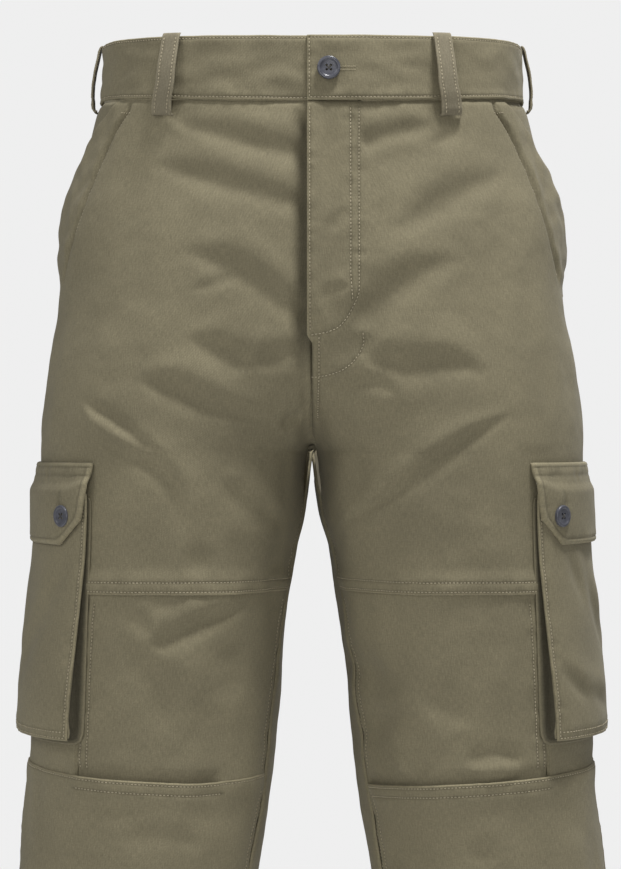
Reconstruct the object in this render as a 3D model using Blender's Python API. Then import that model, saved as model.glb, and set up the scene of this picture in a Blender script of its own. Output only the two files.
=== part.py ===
"""Cargo pants in their worn, hollow form.

Metres, +Z up, +X to the wearer's left, -Y to the front. The origin is the middle of the
waist, halfway up the waistband at the front, where the wearer holds the garment up.

Each half of the garment is one tube of cloth round a hip and a leg. A point of that tube
is given by an angle (0 at the side, +90 at the front, -90 at the back, 180 at the inside
of the leg) and a level, which is its height apart from the slope of the waist. Above the
crotch the two tubes are cut at the centre plane, where the centre seams run.
"""

import math
from collections import namedtuple

import bmesh
import bpy
import numpy as np
from mathutils import Matrix, Vector

# ---- driving sizes ---------------------------------------------------------------------

GAP = 0.0003            # air between two pieces that are sewn together
HALF_GAP = GAP / 2
CLOTH = 0.0015          # one layer of cotton twill
LAP = CLOTH + GAP       # how far an upper layer stands off where it laps a lower one

BAND_TOP = 0.0238       # waistband, levels at the centre front
BAND_BOTTOM = -0.0227
BAND_FLAT = 0.0105      # half height of the strip that the waist button lies on
BAND_WALL = 0.0025      # four layers of twill pressed together
BAND_OUT = 0.0012       # its outer face stands proud of the panels
BAND_LAP = 0.0015       # each half leaves the middle line by this at the overlap
BAND_UNDER = 0.035      # length of the right half that runs under the left one

FLY_LAP = 0.00095       # the same, for the two fronts at the fly
FLY_EDGE = 0.0037       # the left front laps past the centre by this
FLY_UNDER = 0.005       # and the right front runs under it by this
FLY_END = -0.186        # level where the lap stops
FLY_CLOSED = -0.196     # level where the centre seam is closed

CROTCH = -0.2705        # level where the two tubes leave the centre plane
THIGH_SEAM = -0.370     # folded lower edge of the upper front
KNEE_SEAM = -0.4945     # folded upper edge of the lower front, at the side
KNEE_SEAM_DROP = 0.0135 # how much lower that edge is at the inseam
KNEE_LIFT = 0.0021      # that edge stands a little open
TUCK = 0.008            # length of a panel hidden under its neighbour's lap
HEM = -1.070
HEM_TURN = 0.025        # depth of the turned hem
HEM_WALL = 0.0028
LEG_DRIFT = 0.0027      # both legs' inner sides stand this far to the wearer's left
SIDE_SHARE = 0.35       # vertical seam beside the knee, as a share of the front's width

FRONT_COLUMNS = 20
SIDE_COLUMNS = 7        # SIDE_SHARE of the front's columns
BACK_COLUMNS = 14
BAND_COLUMNS = 24
FACING_COLUMNS = 4

POCKET_END = -0.1435    # level where the hip pocket's mouth meets the side seam
MOUTH_GAPE = 0.0036     # how far the mouth's folded edge stands out
FACING_SINK = 0.0020    # the facing lies this far below the front's outer face
FACING_UNDER = math.radians(13)
FACING_END = -0.156

# Worn section of one half at each height. outer and inner are the tube's ends along X,
# centre is its middle, front and back are its depths there, power squares its corners,
# and valley rounds the cloth across the centre seam.
Section = namedtuple("Section", "z outer centre inner front back power valley")
SECTIONS = [
    Section(0.0450, 0.1534, 0.0000, -0.1534, 0.1094, 0.1150, 2.35, 0.0120),
    Section(-0.0080, 0.1550, 0.0000, -0.1550, 0.1112, 0.1185, 2.35, 0.0120),
    Section(-0.0220, 0.1598, 0.0000, -0.1598, 0.1117, 0.1215, 2.35, 0.0120),
    Section(-0.0450, 0.1660, 0.0000, -0.1662, 0.1140, 0.1250, 2.33, 0.0120),
    Section(-0.0700, 0.1742, 0.0040, -0.1700, 0.1155, 0.1300, 2.30, 0.0120),
    Section(-0.0950, 0.1812, 0.0140, -0.1700, 0.1170, 0.1350, 2.30, 0.0120),
    Section(-0.1200, 0.1844, 0.0280, -0.1580, 0.1180, 0.1385, 2.30, 0.0120),
    Section(-0.1450, 0.1855, 0.0440, -0.1420, 0.1182, 0.1405, 2.30, 0.0120),
    Section(-0.1700, 0.1878, 0.0600, -0.1220, 0.1180, 0.1410, 2.30, 0.0120),
    Section(-0.2000, 0.1937, 0.0780, -0.0920, 0.1172, 0.1395, 2.30, 0.0110),
    Section(-0.2250, 0.1968, 0.0900, -0.0600, 0.1165, 0.1365, 2.28, 0.0080),
    Section(-0.2480, 0.1993, 0.0980, -0.0260, 0.1155, 0.1340, 2.25, 0.0030),
    Section(-0.2620, 0.1999, 0.1005, -0.0080, 0.1150, 0.1322, 2.22, 0.0008),
    Section(-0.2700, 0.2002, 0.1010, 0.0000, 0.1147, 0.1312, 2.20, 0.0000),
    Section(-0.3000, 0.2001, 0.1020, 0.0039, 0.1135, 0.1260, 2.18, 0.0000),
    Section(-0.3200, 0.2003, 0.1036, 0.0068, 0.1123, 0.1230, 2.17, 0.0000),
    Section(-0.3400, 0.2008, 0.1063, 0.0118, 0.1110, 0.1200, 2.15, 0.0000),
    Section(-0.4000, 0.2035, 0.1129, 0.0222, 0.1060, 0.1120, 2.15, 0.0000),
    Section(-0.4800, 0.2073, 0.1178, 0.0283, 0.0990, 0.1050, 2.15, 0.0000),
    Section(-0.5050, 0.2083, 0.1195, 0.0307, 0.0975, 0.1035, 2.15, 0.0000),
    Section(-0.5300, 0.2112, 0.1228, 0.0343, 0.0955, 0.1020, 2.15, 0.0000),
    Section(-0.5800, 0.2167, 0.1298, 0.0428, 0.0920, 0.0995, 2.15, 0.0000),
    Section(-0.7000, 0.2240, 0.1420, 0.0600, 0.0800, 0.0960, 2.12, 0.0000),
    Section(-0.8500, 0.2315, 0.1533, 0.0750, 0.0700, 0.0910, 2.10, 0.0000),
    Section(-1.0000, 0.2380, 0.1620, 0.0860, 0.0645, 0.0860, 2.10, 0.0000),
    Section(-1.0750, 0.2405, 0.1653, 0.0900, 0.0630, 0.0840, 2.10, 0.0000),
]

# Where the seams run round the tube, in degrees.
SeamAngle = namedtuple("SeamAngle", "level degrees")
OUTSEAM = [
    SeamAngle(0.050, -4.0),
    SeamAngle(-0.150, -4.0),
    SeamAngle(-0.250, -1.0),
    SeamAngle(-0.370, 2.0),
    SeamAngle(-0.500, 4.0),
    SeamAngle(-1.100, 4.0),
]
INSEAM = [
    SeamAngle(-0.270, 180.0),
    SeamAngle(-0.300, 174.0),
    SeamAngle(-0.400, 166.0),
    SeamAngle(-0.480, 161.0),
    SeamAngle(-0.580, 158.0),
    SeamAngle(-1.100, 158.0),
]
POCKET_MOUTH = [
    SeamAngle(-0.0100, 38.0),
    SeamAngle(-0.0227, 31.5),
    SeamAngle(-0.0440, 18.5),
    SeamAngle(-0.0600, 9.5),
    SeamAngle(-0.0850, 2.5),
    SeamAngle(-0.1100, -1.0),
    SeamAngle(POCKET_END, -4.0),
    SeamAngle(-0.1600, -4.0),
]

# Front edge of the bellows pocket, beyond which the leg's cloth may fold.
POCKET_FRONT = [
    SeamAngle(-0.272, 59.3),
    SeamAngle(-0.370, 62.1),
    SeamAngle(-0.490, 63.5),
]

# How much higher than at the centre front the waistband's two edges run.
Slope = namedtuple("Slope", "side back")
TOP_SLOPE = Slope(0.0050, 0.0140)
BOTTOM_SLOPE = Slope(0.0095, 0.0110)
SLOPE_ENDS = -0.120     # level below which the panels' rows are horizontal

# Levels of each panel's rows. Both sides of the crotch share the same rows.
CROTCH_ROWS = [-0.248, -0.257, -0.2635, -0.268, CROTCH, -0.280, -0.296]
UPPER_ROWS = [
    BAND_BOTTOM - GAP, -0.036, -0.052, -0.068, -0.084, -0.099, -0.114, -0.129, POCKET_END,
    -0.160, -0.174, FLY_END, FLY_CLOSED, -0.210, -0.224, -0.237,
    *CROTCH_ROWS, -0.314, -0.332, -0.349, THIGH_SEAM + TUCK, THIGH_SEAM,
]
KNEE_ROWS = [-0.380, -0.400, -0.424, -0.449, -0.474]
LOWER_ROWS = [-0.550, -0.595, -0.655, -0.725, -0.810, -0.910, -1.000]
BACK_ROWS = [
    BAND_BOTTOM - GAP, -0.047, -0.073, -0.100, -0.127, -0.155, -0.183, -0.208, -0.230,
    *CROTCH_ROWS, -0.332, -0.380, -0.440, -0.500, -0.560, -0.625, -0.710, -0.810, -0.910,
    -1.000,
]
FACING_ROWS = [BAND_BOTTOM - GAP, -0.044, -0.066, -0.088, -0.110, -0.133, FACING_END]

# The largest folds: soft troughs pressed into the cloth. side is +1 for the wearer's left.
# Each runs from x0, z0 to x1, z1 as seen from its face, with its middle moved sideways by
# bow; a negative depth is a ridge.
Fold = namedtuple("Fold", "side face x0 z0 x1 z1 bow width depth")
FOLDS = [
    Fold(-1, "front", 0.104, -0.040, 0.012, -0.061, 0.004, 0.011, 0.0030),
    Fold(-1, "front", 0.125, -0.064, 0.010, -0.099, 0.008, 0.014, 0.0040),
    Fold(-1, "front", 0.112, -0.122, 0.005, -0.174, -0.008, 0.014, 0.0050),
    Fold(-1, "front", 0.098, -0.182, 0.010, -0.206, -0.012, 0.013, 0.0042),
    Fold(-1, "front", 0.132, -0.216, 0.020, -0.250, -0.004, 0.013, 0.0060),
    Fold(-1, "front", 0.164, -0.232, 0.104, -0.270, 0.002, 0.010, 0.0050),
    Fold(-1, "front", 0.138, -0.262, 0.088, -0.345, -0.014, 0.014, 0.0060),
    Fold(-1, "front", 0.070, -0.288, 0.018, -0.324, 0.002, 0.013, 0.0045),
    Fold(-1, "front", 0.116, -0.404, 0.042, -0.375, 0.003, 0.010, 0.0045),
    Fold(-1, "front", 0.112, -0.402, 0.086, -0.484, 0.004, 0.013, 0.0045),
    Fold(-1, "front", 0.158, -0.405, 0.098, -0.462, 0.004, 0.014, 0.0040),
    Fold(1, "front", 0.035, -0.052, 0.100, -0.034, 0.003, 0.011, 0.0028),
    Fold(1, "front", 0.036, -0.124, 0.132, -0.070, 0.003, 0.014, 0.0045),
    Fold(1, "front", 0.024, -0.180, 0.110, -0.130, -0.004, 0.014, 0.0050),
    Fold(1, "front", 0.036, -0.206, 0.130, -0.214, 0.005, 0.014, 0.0042),
    Fold(1, "front", 0.016, -0.229, 0.064, -0.222, -0.002, 0.010, 0.0035),
    Fold(1, "front", 0.020, -0.330, 0.146, -0.238, 0.003, 0.011, 0.0060),
    Fold(1, "front", 0.056, -0.416, 0.092, -0.446, 0.003, 0.014, 0.0035),
    Fold(1, "front", 0.104, -0.492, 0.158, -0.488, -0.010, 0.013, 0.0035),
    Fold(-1, "front", 0.160, -0.560, 0.070, -0.590, 0.006, 0.020, 0.0040),
    Fold(1, "front", 0.065, -0.560, 0.165, -0.605, -0.006, 0.020, 0.0040),
    Fold(-1, "front", 0.195, -0.700, 0.100, -0.745, 0.006, 0.026, 0.0045),
    Fold(1, "front", 0.090, -0.730, 0.190, -0.690, 0.006, 0.026, 0.0045),
    Fold(-1, "front", 0.200, -0.900, 0.120, -0.935, -0.006, 0.028, 0.0035),
    Fold(1, "front", 0.120, -0.920, 0.200, -0.885, 0.006, 0.028, 0.0035),
    Fold(-1, "back", 0.155, -0.165, 0.035, -0.245, 0.010, 0.018, 0.0050),
    Fold(1, "back", 0.155, -0.165, 0.035, -0.245, 0.010, 0.018, 0.0050),
    Fold(-1, "back", 0.145, -0.250, 0.035, -0.305, 0.008, 0.017, 0.0060),
    Fold(1, "back", 0.145, -0.250, 0.035, -0.305, 0.008, 0.017, 0.0060),
    Fold(-1, "back", 0.065, -0.085, 0.012, -0.150, 0.006, 0.014, 0.0030),
    Fold(1, "back", 0.065, -0.085, 0.012, -0.150, 0.006, 0.014, 0.0030),
    Fold(-1, "back", 0.165, -0.530, 0.060, -0.555, 0.008, 0.020, 0.0060),
    Fold(1, "back", 0.165, -0.530, 0.060, -0.555, 0.008, 0.020, 0.0060),
    Fold(-1, "back", 0.175, -0.600, 0.070, -0.625, -0.008, 0.020, 0.0055),
    Fold(1, "back", 0.175, -0.600, 0.070, -0.625, -0.008, 0.020, 0.0055),
    Fold(-1, "back", 0.195, -0.800, 0.110, -0.840, 0.006, 0.026, 0.0040),
    Fold(1, "back", 0.195, -0.800, 0.110, -0.840, 0.006, 0.026, 0.0040),
]
FOLD_SAMPLES = 9

# Belt loops: a strip in a bow over the band. run is its edge line through level and
# stand-off, up the outer face and down the inner one.
LOOP_WIDTH = 0.014
LoopPoint = namedtuple("LoopPoint", "level off bow")
LOOP_RUN = [
    LoopPoint(-0.0305, 0.0003, 0.0),
    LoopPoint(-0.0305, 0.0030, 0.1),
    LoopPoint(-0.0262, 0.0062, 0.4),
    LoopPoint(-0.0195, 0.0084, 0.9),
    LoopPoint(-0.0095, 0.0090, 1.0),
    LoopPoint(0.0030, 0.0080, 0.9),
    LoopPoint(0.0165, 0.0055, 0.4),
    LoopPoint(0.0222, 0.0044, 0.1),
    LoopPoint(0.0254, 0.0032, 0.0),
    LoopPoint(0.0254, 0.0016, 0.0),
    LoopPoint(0.0140, 0.0016, 0.0),
    LoopPoint(0.0122, 0.0044, 0.4),
    LoopPoint(0.0028, 0.0061, 0.9),
    LoopPoint(-0.0095, 0.0072, 1.0),
    LoopPoint(-0.0185, 0.0066, 0.9),
    LoopPoint(-0.0232, 0.0040, 0.3),
    LoopPoint(-0.0247, 0.0018, 0.0),
    LoopPoint(-0.0252, 0.0003, 0.0),
]
LOOP_END = LOOP_RUN[0].level
# low is the level of the loop's lower end, bow is added to the middle of its arch, and
# lean moves its top towards the centre for each metre of height.
Loop = namedtuple("Loop", "name side x face low bow lean")
LOOPS = [
    Loop("front_left", 1, 0.0920, "front", -0.0350, 0.0008, 0.03),
    Loop("front_right", -1, 0.0995, "front", -0.0350, 0.0008, 0.03),
    Loop("side_left", 1, None, "side", -0.0285, 0.0, 0.0),
    Loop("side_right", -1, None, "side", -0.0285, 0.0, 0.0),
    Loop("back_left", 1, 0.0900, "back", -0.0310, 0.0008, 0.0),
    Loop("back_right", -1, 0.0900, "back", -0.0310, 0.0008, 0.0),
    Loop("centre_back", 1, 0.0, "back", -0.0310, 0.0, 0.0),
]

# Bellows pocket over the side seam. Its outline on the leg is POCKET_HALF to each side of
# its own middle, which lies in front of the seam and leans back towards the pocket's bottom.
POCKET_HALF = 0.0915
POCKET_MIDDLE = 0.022   # from the seam to that middle, at the flap's top
POCKET_LEAN = 0.085     # how much less for each metre down
POCKET_BOTTOM = -0.478
GUSSET_TOP = -0.3005
GUSSET_LAYER = 0.0010
GUSSET_SEAT = 0.0006    # air between the leg and the gusset
GUSSET_DEPTH = 0.0125   # how far the bellows fold reaches in under the face
FACE_TOP = -0.2985
FACE_SEAT = 0.0005      # air between gusset and face
FACE_WALL = 0.0012
FACE_COLUMNS = 14
FLAP_TOP = -0.278
FLAP_BOTTOM = -0.334
FLAP_CORNER_LEVEL = -0.316
FLAP_HALF = 0.0935
FLAP_TAPER = 0.19       # how much narrower each half gets for each metre down
FLAP_CORNER = 0.017     # width of the cut corner
FLAP_WALL = 0.0015
FLAP_BUTTON_IN = 0.023  # from the flap's edge to its button
FLAP_BUTTON_LEVEL = -0.3145
# Inner face of the pocket's front above the leg, and how far its edge lies inside the
# line where the gusset leaves the leg.
Bellows = namedtuple("Bellows", "level off inset")
BELLOWS = [
    Bellows(-0.280, 0.0033, 0.0020),
    Bellows(-0.300, 0.0033, 0.0020),
    Bellows(-0.340, 0.0033, 0.0028),
    Bellows(-0.370, 0.0039, 0.0038),
    Bellows(-0.400, 0.0049, 0.0052),
    Bellows(-0.430, 0.0069, 0.0068),
    Bellows(-0.460, 0.0078, 0.0080),
    Bellows(-0.490, 0.0086, 0.0080),
]
FACE_BOTTOM_INSET = 0.004
POCKET_ROWS = [-0.320, -0.345, -0.370, -0.395, -0.417, -0.438, -0.458]
GUSSET_BOTTOM_STEPS = 12
FlapRow = namedtuple("FlapRow", "share off")
FLAP_ROWS = [
    FlapRow(0.00, 0.0006),
    FlapRow(0.12, 0.0012),
    FlapRow(0.23, 0.0024),
    FlapRow(0.36, 0.0054),
    FlapRow(0.66, 0.0056),
    FlapRow(1.00, 0.0054),
]
FLAP_OFF = FLAP_ROWS[4].off

# Sew-through buttons: radius, thickness, rim and holes.
ButtonSize = namedtuple("ButtonSize", "radius thick rim dish sides")
WAIST_BUTTON = ButtonSize(0.0090, 0.0034, 0.0022, 0.0010, 20)
FLAP_BUTTON = ButtonSize(0.0078, 0.0030, 0.0019, 0.0009, 12)
WAIST_BUTTON_X = 0.0116
BUTTON_HOLE = 0.0009    # radius of one thread hole
BUTTON_HOLE_RING = 0.0021
BUTTON_HOLES = 4

TWILL = (0.205, 0.180, 0.122)
TWILL_TAPE = (0.190, 0.166, 0.112)
SLATE = (0.085, 0.088, 0.105)


# ---- small helpers ---------------------------------------------------------------------

def curve_through(table, column):
    """Returns a function that reads a table's column along a smooth curve."""
    rows = sorted(table)
    at = np.array([row[0] for row in rows])
    value = np.array([getattr(row, column) for row in rows])
    step = np.diff(at)
    rate = np.diff(value) / step
    slope = np.zeros(len(rows))
    slope[0], slope[-1] = rate[0], rate[-1]
    for i in range(1, len(rows) - 1):
        if rate[i - 1] * rate[i] > 0:
            slope[i] = 2 * rate[i - 1] * rate[i] / (rate[i - 1] + rate[i])

    def value_at(place):
        place = np.clip(place, at[0], at[-1])
        i = np.clip(np.searchsorted(at, place) - 1, 0, len(at) - 2)
        t = (place - at[i]) / step[i]
        rising = t * t * (3 - 2 * t)
        bend = step[i] * (slope[i] * t * (1 - t) ** 2 - slope[i + 1] * t * t * (1 - t))
        return value[i] * (1 - rising) + value[i + 1] * rising + bend

    return value_at


def ramp(value, start, end):
    """Goes smoothly from 0 at start to 1 at end."""
    t = np.clip((value - start) / (end - start), 0.0, 1.0)
    return t * t * (3 - 2 * t)


outer_at = curve_through(SECTIONS, "outer")
centre_at = curve_through(SECTIONS, "centre")
inner_at = curve_through(SECTIONS, "inner")
front_at = curve_through(SECTIONS, "front")
back_at = curve_through(SECTIONS, "back")
power_at = curve_through(SECTIONS, "power")
valley_at = curve_through(SECTIONS, "valley")
outseam_degrees = curve_through(OUTSEAM, "degrees")
inseam_degrees = curve_through(INSEAM, "degrees")
mouth_degrees = curve_through(POCKET_MOUTH, "degrees")
pocket_degrees = curve_through(POCKET_FRONT, "degrees")
bellows_off = curve_through(BELLOWS, "off")
bellows_inset = curve_through(BELLOWS, "inset")


# ---- the worn form ---------------------------------------------------------------------

def height(angle, level):
    """Real height of a level: the waist runs a little higher at the sides and the back."""
    side = np.cos(angle) ** 2
    back = np.where(np.sin(angle) < 0, np.sin(angle) ** 2, 0.0)
    top = TOP_SLOPE.side * side + TOP_SLOPE.back * back
    bottom = BOTTOM_SLOPE.side * side + BOTTOM_SLOPE.back * back
    up_the_band = np.clip((level - BAND_BOTTOM) / (BAND_TOP - BAND_BOTTOM), 0.0, 1.0)
    return level + (bottom + (top - bottom) * up_the_band) * ramp(level, SLOPE_ENDS, BAND_BOTTOM)


def skin(angle, level):
    """Points of the left half's outer face, before folds and laps."""
    z = height(angle, level)
    outer, centre, inner, power = outer_at(z), centre_at(z), inner_at(z), power_at(z)
    across = np.cos(angle)
    reach = np.where(across >= 0, outer - centre, centre - inner)
    x = centre + np.sign(across) * reach * np.abs(across) ** (2 / power)
    valley = valley_at(z) + 1e-9
    rounded = np.abs(x) + valley * np.exp(-np.abs(x) / valley)
    share = np.abs(rounded - centre) / np.where(rounded >= centre, outer - centre, centre - inner)
    depth = np.where(np.sin(angle) >= 0, front_at(z), back_at(z))
    y = -np.sign(np.sin(angle)) * depth * (1 - np.clip(share, 0, 1) ** power) ** (1 / power)
    return np.stack([x, y, z], axis=-1)


def outward(angle, level):
    """Unit normals of the skin."""
    turn, climb = 0.006, 0.0006
    along = skin(angle + turn, level) - skin(angle - turn, level)
    up = skin(angle, level + climb) - skin(angle, level - climb)
    normal = np.cross(up, along)
    return normal / np.linalg.norm(normal, axis=-1, keepdims=True)


def centre_angle(level, x, face=1):
    """Angle where the skin reaches x near the centre plane; face is -1 for the back."""
    angle = face * math.pi / 2
    for _ in range(4):
        z = float(height(angle, level))
        share = (centre_at(z) - x) / (centre_at(z) - inner_at(z))
        across = math.copysign(abs(share) ** (power_at(z) / 2), -share)
        angle = face * math.acos(max(-1.0, min(1.0, across)))
    return angle


def outseam(level):
    return math.radians(outseam_degrees(level))


def inseam(level):
    return math.radians(inseam_degrees(level))


def front_middle(level, x):
    """Where a front panel ends: the centre front, and the inseam below the crotch."""
    if level <= CROTCH:
        return inseam(level)
    return centre_angle(level, x)


def back_middle(level):
    if level <= CROTCH:
        return inseam(level) - 2 * math.pi
    return centre_angle(level, HALF_GAP, -1)


def angle_between(level, start, end, share, trims=(0.0, 0.0)):
    """Angle at a share of the way along the cloth from start to end, less the trims."""
    angles = np.linspace(start, end, 160)
    points = skin(angles, np.full_like(angles, level))
    run = np.concatenate([[0.0], np.cumsum(np.linalg.norm(np.diff(points, axis=0), axis=1))])
    length = run[-1] - trims[0] - trims[1]
    return np.interp(trims[0] + share * length, run, angles)


def angle_along(level, start, length):
    """Angle reached from start after a length of cloth, towards the front if positive."""
    far = start + math.copysign(math.radians(170), length or 1.0)
    angles = np.linspace(start, far, 160)
    points = skin(angles, np.full_like(angles, level))
    run = np.concatenate([[0.0], np.cumsum(np.linalg.norm(np.diff(points, axis=0), axis=1))])
    return np.interp(abs(length), run, angles)


def vertical_seam(level):
    """Seam between the knee panel and the side panel."""
    return angle_between(level, outseam(level), inseam(level), SIDE_SHARE)


def knee_seam(share):
    """Level of the lower front's folded edge, from the outseam to the inseam."""
    return KNEE_SEAM - KNEE_SEAM_DROP * share


# ---- folds -----------------------------------------------------------------------------

def depth_at(face, x, z):
    """Y of the skin seen from the front or the back at x, z of the left half."""
    outer, centre, inner, power = outer_at(z), centre_at(z), inner_at(z), power_at(z)
    share = np.abs(x - centre) / np.where(x >= centre, outer - centre, centre - inner)
    hollow = (1 - np.clip(share, 0, 1) ** power) ** (1 / power)
    return -front_at(z) * hollow if face == "front" else back_at(z) * hollow


def fold_line(fold):
    """Points of a fold's bottom on the left half's skin."""
    t = np.linspace(0, 1, FOLD_SAMPLES)
    run = np.array([fold.x1 - fold.x0, fold.z1 - fold.z0])
    sideways = np.array([-run[1], run[0]]) / np.linalg.norm(run)
    bulge = 4 * t * (1 - t) * fold.bow
    x = fold.x0 + run[0] * t + sideways[0] * bulge
    z = fold.z0 + run[1] * t + sideways[1] * bulge
    return np.stack([x, depth_at(fold.face, x, z), z], axis=-1)


def press_folds(side, points):
    """How far the folds move each point of one half outwards."""
    move = np.zeros(points.shape[:-1])
    for fold in FOLDS:
        if fold.side != side:
            continue
        line = fold_line(fold)
        nearest = np.full(points.shape[:-1], 1.0)
        place = np.zeros(points.shape[:-1])
        for i in range(FOLD_SAMPLES - 1):
            step = line[i + 1] - line[i]
            t = np.clip((points - line[i]) @ step / (step @ step), 0, 1)
            gap = np.linalg.norm(points - line[i] - t[..., None] * step, axis=-1)
            closer = gap < nearest
            nearest = np.where(closer, gap, nearest)
            place = np.where(closer, (i + t) / (FOLD_SAMPLES - 1), place)
        fading = ramp(np.minimum(place, 1 - place), 0.0, 0.3)
        move -= fold.depth * fading * np.exp(-(nearest / fold.width) ** 2)
    return move


def calm(angle, level, points):
    """1 where the cloth may fold, 0 at the waist, the fly, the centre seam and the pockets."""
    turn = np.degrees(angle)
    free = ramp(level, -0.026, -0.048)
    near_centre = np.where(level > -0.29, ramp(np.abs(points[..., 0]), 0.005, 0.022), 1.0)
    past_mouth = ramp(turn - mouth_degrees(level), 2.0, 16.0)
    beside_mouth = np.where((level > FACING_END) & (turn > -4), past_mouth, 1.0)
    beside_pocket = np.maximum(turn - pocket_degrees(level), outseam_degrees(level) - turn - 52.0)
    across = ramp(beside_pocket, 1.0, 12.0)
    along = np.maximum(ramp(level, -0.272, -0.262), ramp(level, -0.486, -0.500))
    return free * near_centre * beside_mouth * np.maximum(across, along)


def drift(side, angle, level):
    """The knees' inner sides lie a little to the wearer's left: outwards on the right leg."""
    inside = np.cos(angle) < 0
    return -side * LEG_DRIFT * ramp(level, -0.395, -0.450) * ramp(-np.cos(angle) * inside, 0.3, 0.9)


# ---- solids from grids and rings -------------------------------------------------------

def add_object(name, mesh, colour, roughness):
    """Puts a finished mesh in the scene with its own Principled material."""
    look = bpy.data.materials.new(name)
    look.use_nodes = True
    shader = look.node_tree.nodes["Principled BSDF"]
    shader.inputs["Base Color"].default_value = (*colour, 1.0)
    shader.inputs["Roughness"].default_value = roughness
    shader.inputs["Metallic"].default_value = 0.0
    mesh.materials.append(look)
    item = bpy.data.objects.new(name, mesh)
    bpy.context.collection.objects.link(item)
    return item


def finish_mesh(name, bm):
    bmesh.ops.recalc_face_normals(bm, faces=bm.faces)
    mesh = bpy.data.meshes.new(name)
    bm.to_mesh(mesh)
    bm.free()
    mesh.shade_smooth()
    mesh.set_sharp_from_angle(angle=math.radians(40))
    return mesh


def cloth_solid(name, outer, inner, colour=TWILL):
    """Wall between two grids of points, rows by columns."""
    rows, columns = outer.shape[0] - 1, outer.shape[1] - 1
    bm = bmesh.new()
    bmesh.ops.create_grid(bm, x_segments=columns, y_segments=rows, size=1.0)
    place = bm.verts.layers.int.new("place")
    for vert in bm.verts:
        column = round((vert.co.x + 1) / 2 * columns)
        row = round((vert.co.y + 1) / 2 * rows)
        vert[place] = row * (columns + 1) + column
        vert.co = Vector(outer[row, column])
    bmesh.ops.triangulate(bm, faces=bm.faces, quad_method="SHORT_EDGE")
    flat_inner = inner.reshape(-1, 3)
    layer = bmesh.ops.extrude_face_region(bm, geom=bm.faces[:], use_keep_orig=True)
    for item in layer["geom"]:
        if isinstance(item, bmesh.types.BMVert):
            item.co = Vector(flat_inner[item[place]])
    return add_object(name, finish_mesh(name, bm), colour, 0.85)


def swept_solid(name, rings, colour):
    """Closed band through rings of points, with its two ends filled."""
    steps, around = rings.shape[0] - 1, rings.shape[1]
    bm = bmesh.new()
    bmesh.ops.create_grid(bm, x_segments=around, y_segments=steps, size=1.0)
    for vert in bm.verts:
        column = round((vert.co.x + 1) / 2 * around) % around
        row = round((vert.co.y + 1) / 2 * steps)
        vert.co = Vector(rings[row, column])
    bmesh.ops.remove_doubles(bm, verts=bm.verts, dist=1e-7)
    open_edges = [edge for edge in bm.edges if edge.is_boundary]
    caps = bmesh.ops.holes_fill(bm, edges=open_edges, sides=around)["faces"]
    bmesh.ops.triangulate(bm, faces=caps, ngon_method="EAR_CLIP")
    return add_object(name, finish_mesh(name, bm), colour, 0.85)


def mirrored(side, points):
    """Left-half points as they are, or reflected to the right half."""
    return points * np.array([side, 1.0, 1.0])


def panel(name, side, levels, starts, ends, trims, lift, wall=None):
    """One cloth panel. levels is a grid; starts and ends give each node's row ends."""
    rows, columns = levels.shape
    angles = np.empty(levels.shape)
    for row in range(rows):
        for column in range(columns):
            level = levels[row, column]
            share = column / (columns - 1)
            angles[row, column] = angle_between(level, starts(level), ends(level), share, trims)
    points = skin(angles, levels)
    normals = outward(angles, levels)
    folds = press_folds(side, points) * calm(angles, levels, points)
    moved = folds + lift(angles, levels, points) + drift(side, angles, levels)
    outer = points + moved[..., None] * normals
    thickness = np.full(levels.shape, CLOTH) if wall is None else wall(levels)
    inner = outer - thickness[..., None] * normals
    return cloth_solid(name, mirrored(side, outer), mirrored(side, inner))


def even_rows(levels, columns):
    """The same levels in every column."""
    return np.repeat(np.array(levels, float)[:, None], columns + 1, axis=1)


def side_name(side):
    return "left" if side > 0 else "right"


# ---- leg panels ------------------------------------------------------------------------

def hem_wall(levels):
    """The hem is turned up inside, so the wall is thicker there."""
    return CLOTH + (HEM_WALL - CLOTH) * ramp(levels, HEM + HEM_TURN + 0.004, HEM + HEM_TURN)


def front_upper(side):
    """Upper front with the hip pocket's mouth cut away, its fly lap and its folded hem."""
    levels = even_rows(UPPER_ROWS, FRONT_COLUMNS)
    reach = -FLY_EDGE if side > 0 else -FLY_UNDER

    def start(level):
        return math.radians(mouth_degrees(level)) if level > POCKET_END else outseam(level)

    def end(level):
        lapped = level >= FLY_END - 1e-6
        return front_middle(level, reach if lapped else HALF_GAP)

    def lift(angles, levels, points):
        shares = np.linspace(0, 1, FRONT_COLUMNS + 1)[None, :]
        over_knee = LAP * ramp(levels, -0.350, THIGH_SEAM + TUCK)
        over_knee = over_knee * np.where(shares > SIDE_SHARE + 0.01, 1.0, 0.0)
        fly = np.where(levels > FLY_CLOSED - 1e-6, ramp(np.abs(points[..., 0]), 0.034, 0.012), 0.0)
        gape = ramp(levels, -0.050, -0.090) * ramp(levels, POCKET_END, -0.125)
        gape = gape * ramp(shares, 0.16, 0.0) * MOUTH_GAPE
        return over_knee + side * FLY_LAP * fly + gape

    trims = (HALF_GAP, 0.0)
    return panel(f"front_upper_{side_name(side)}", side, levels, start, end, trims, lift)


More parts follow.
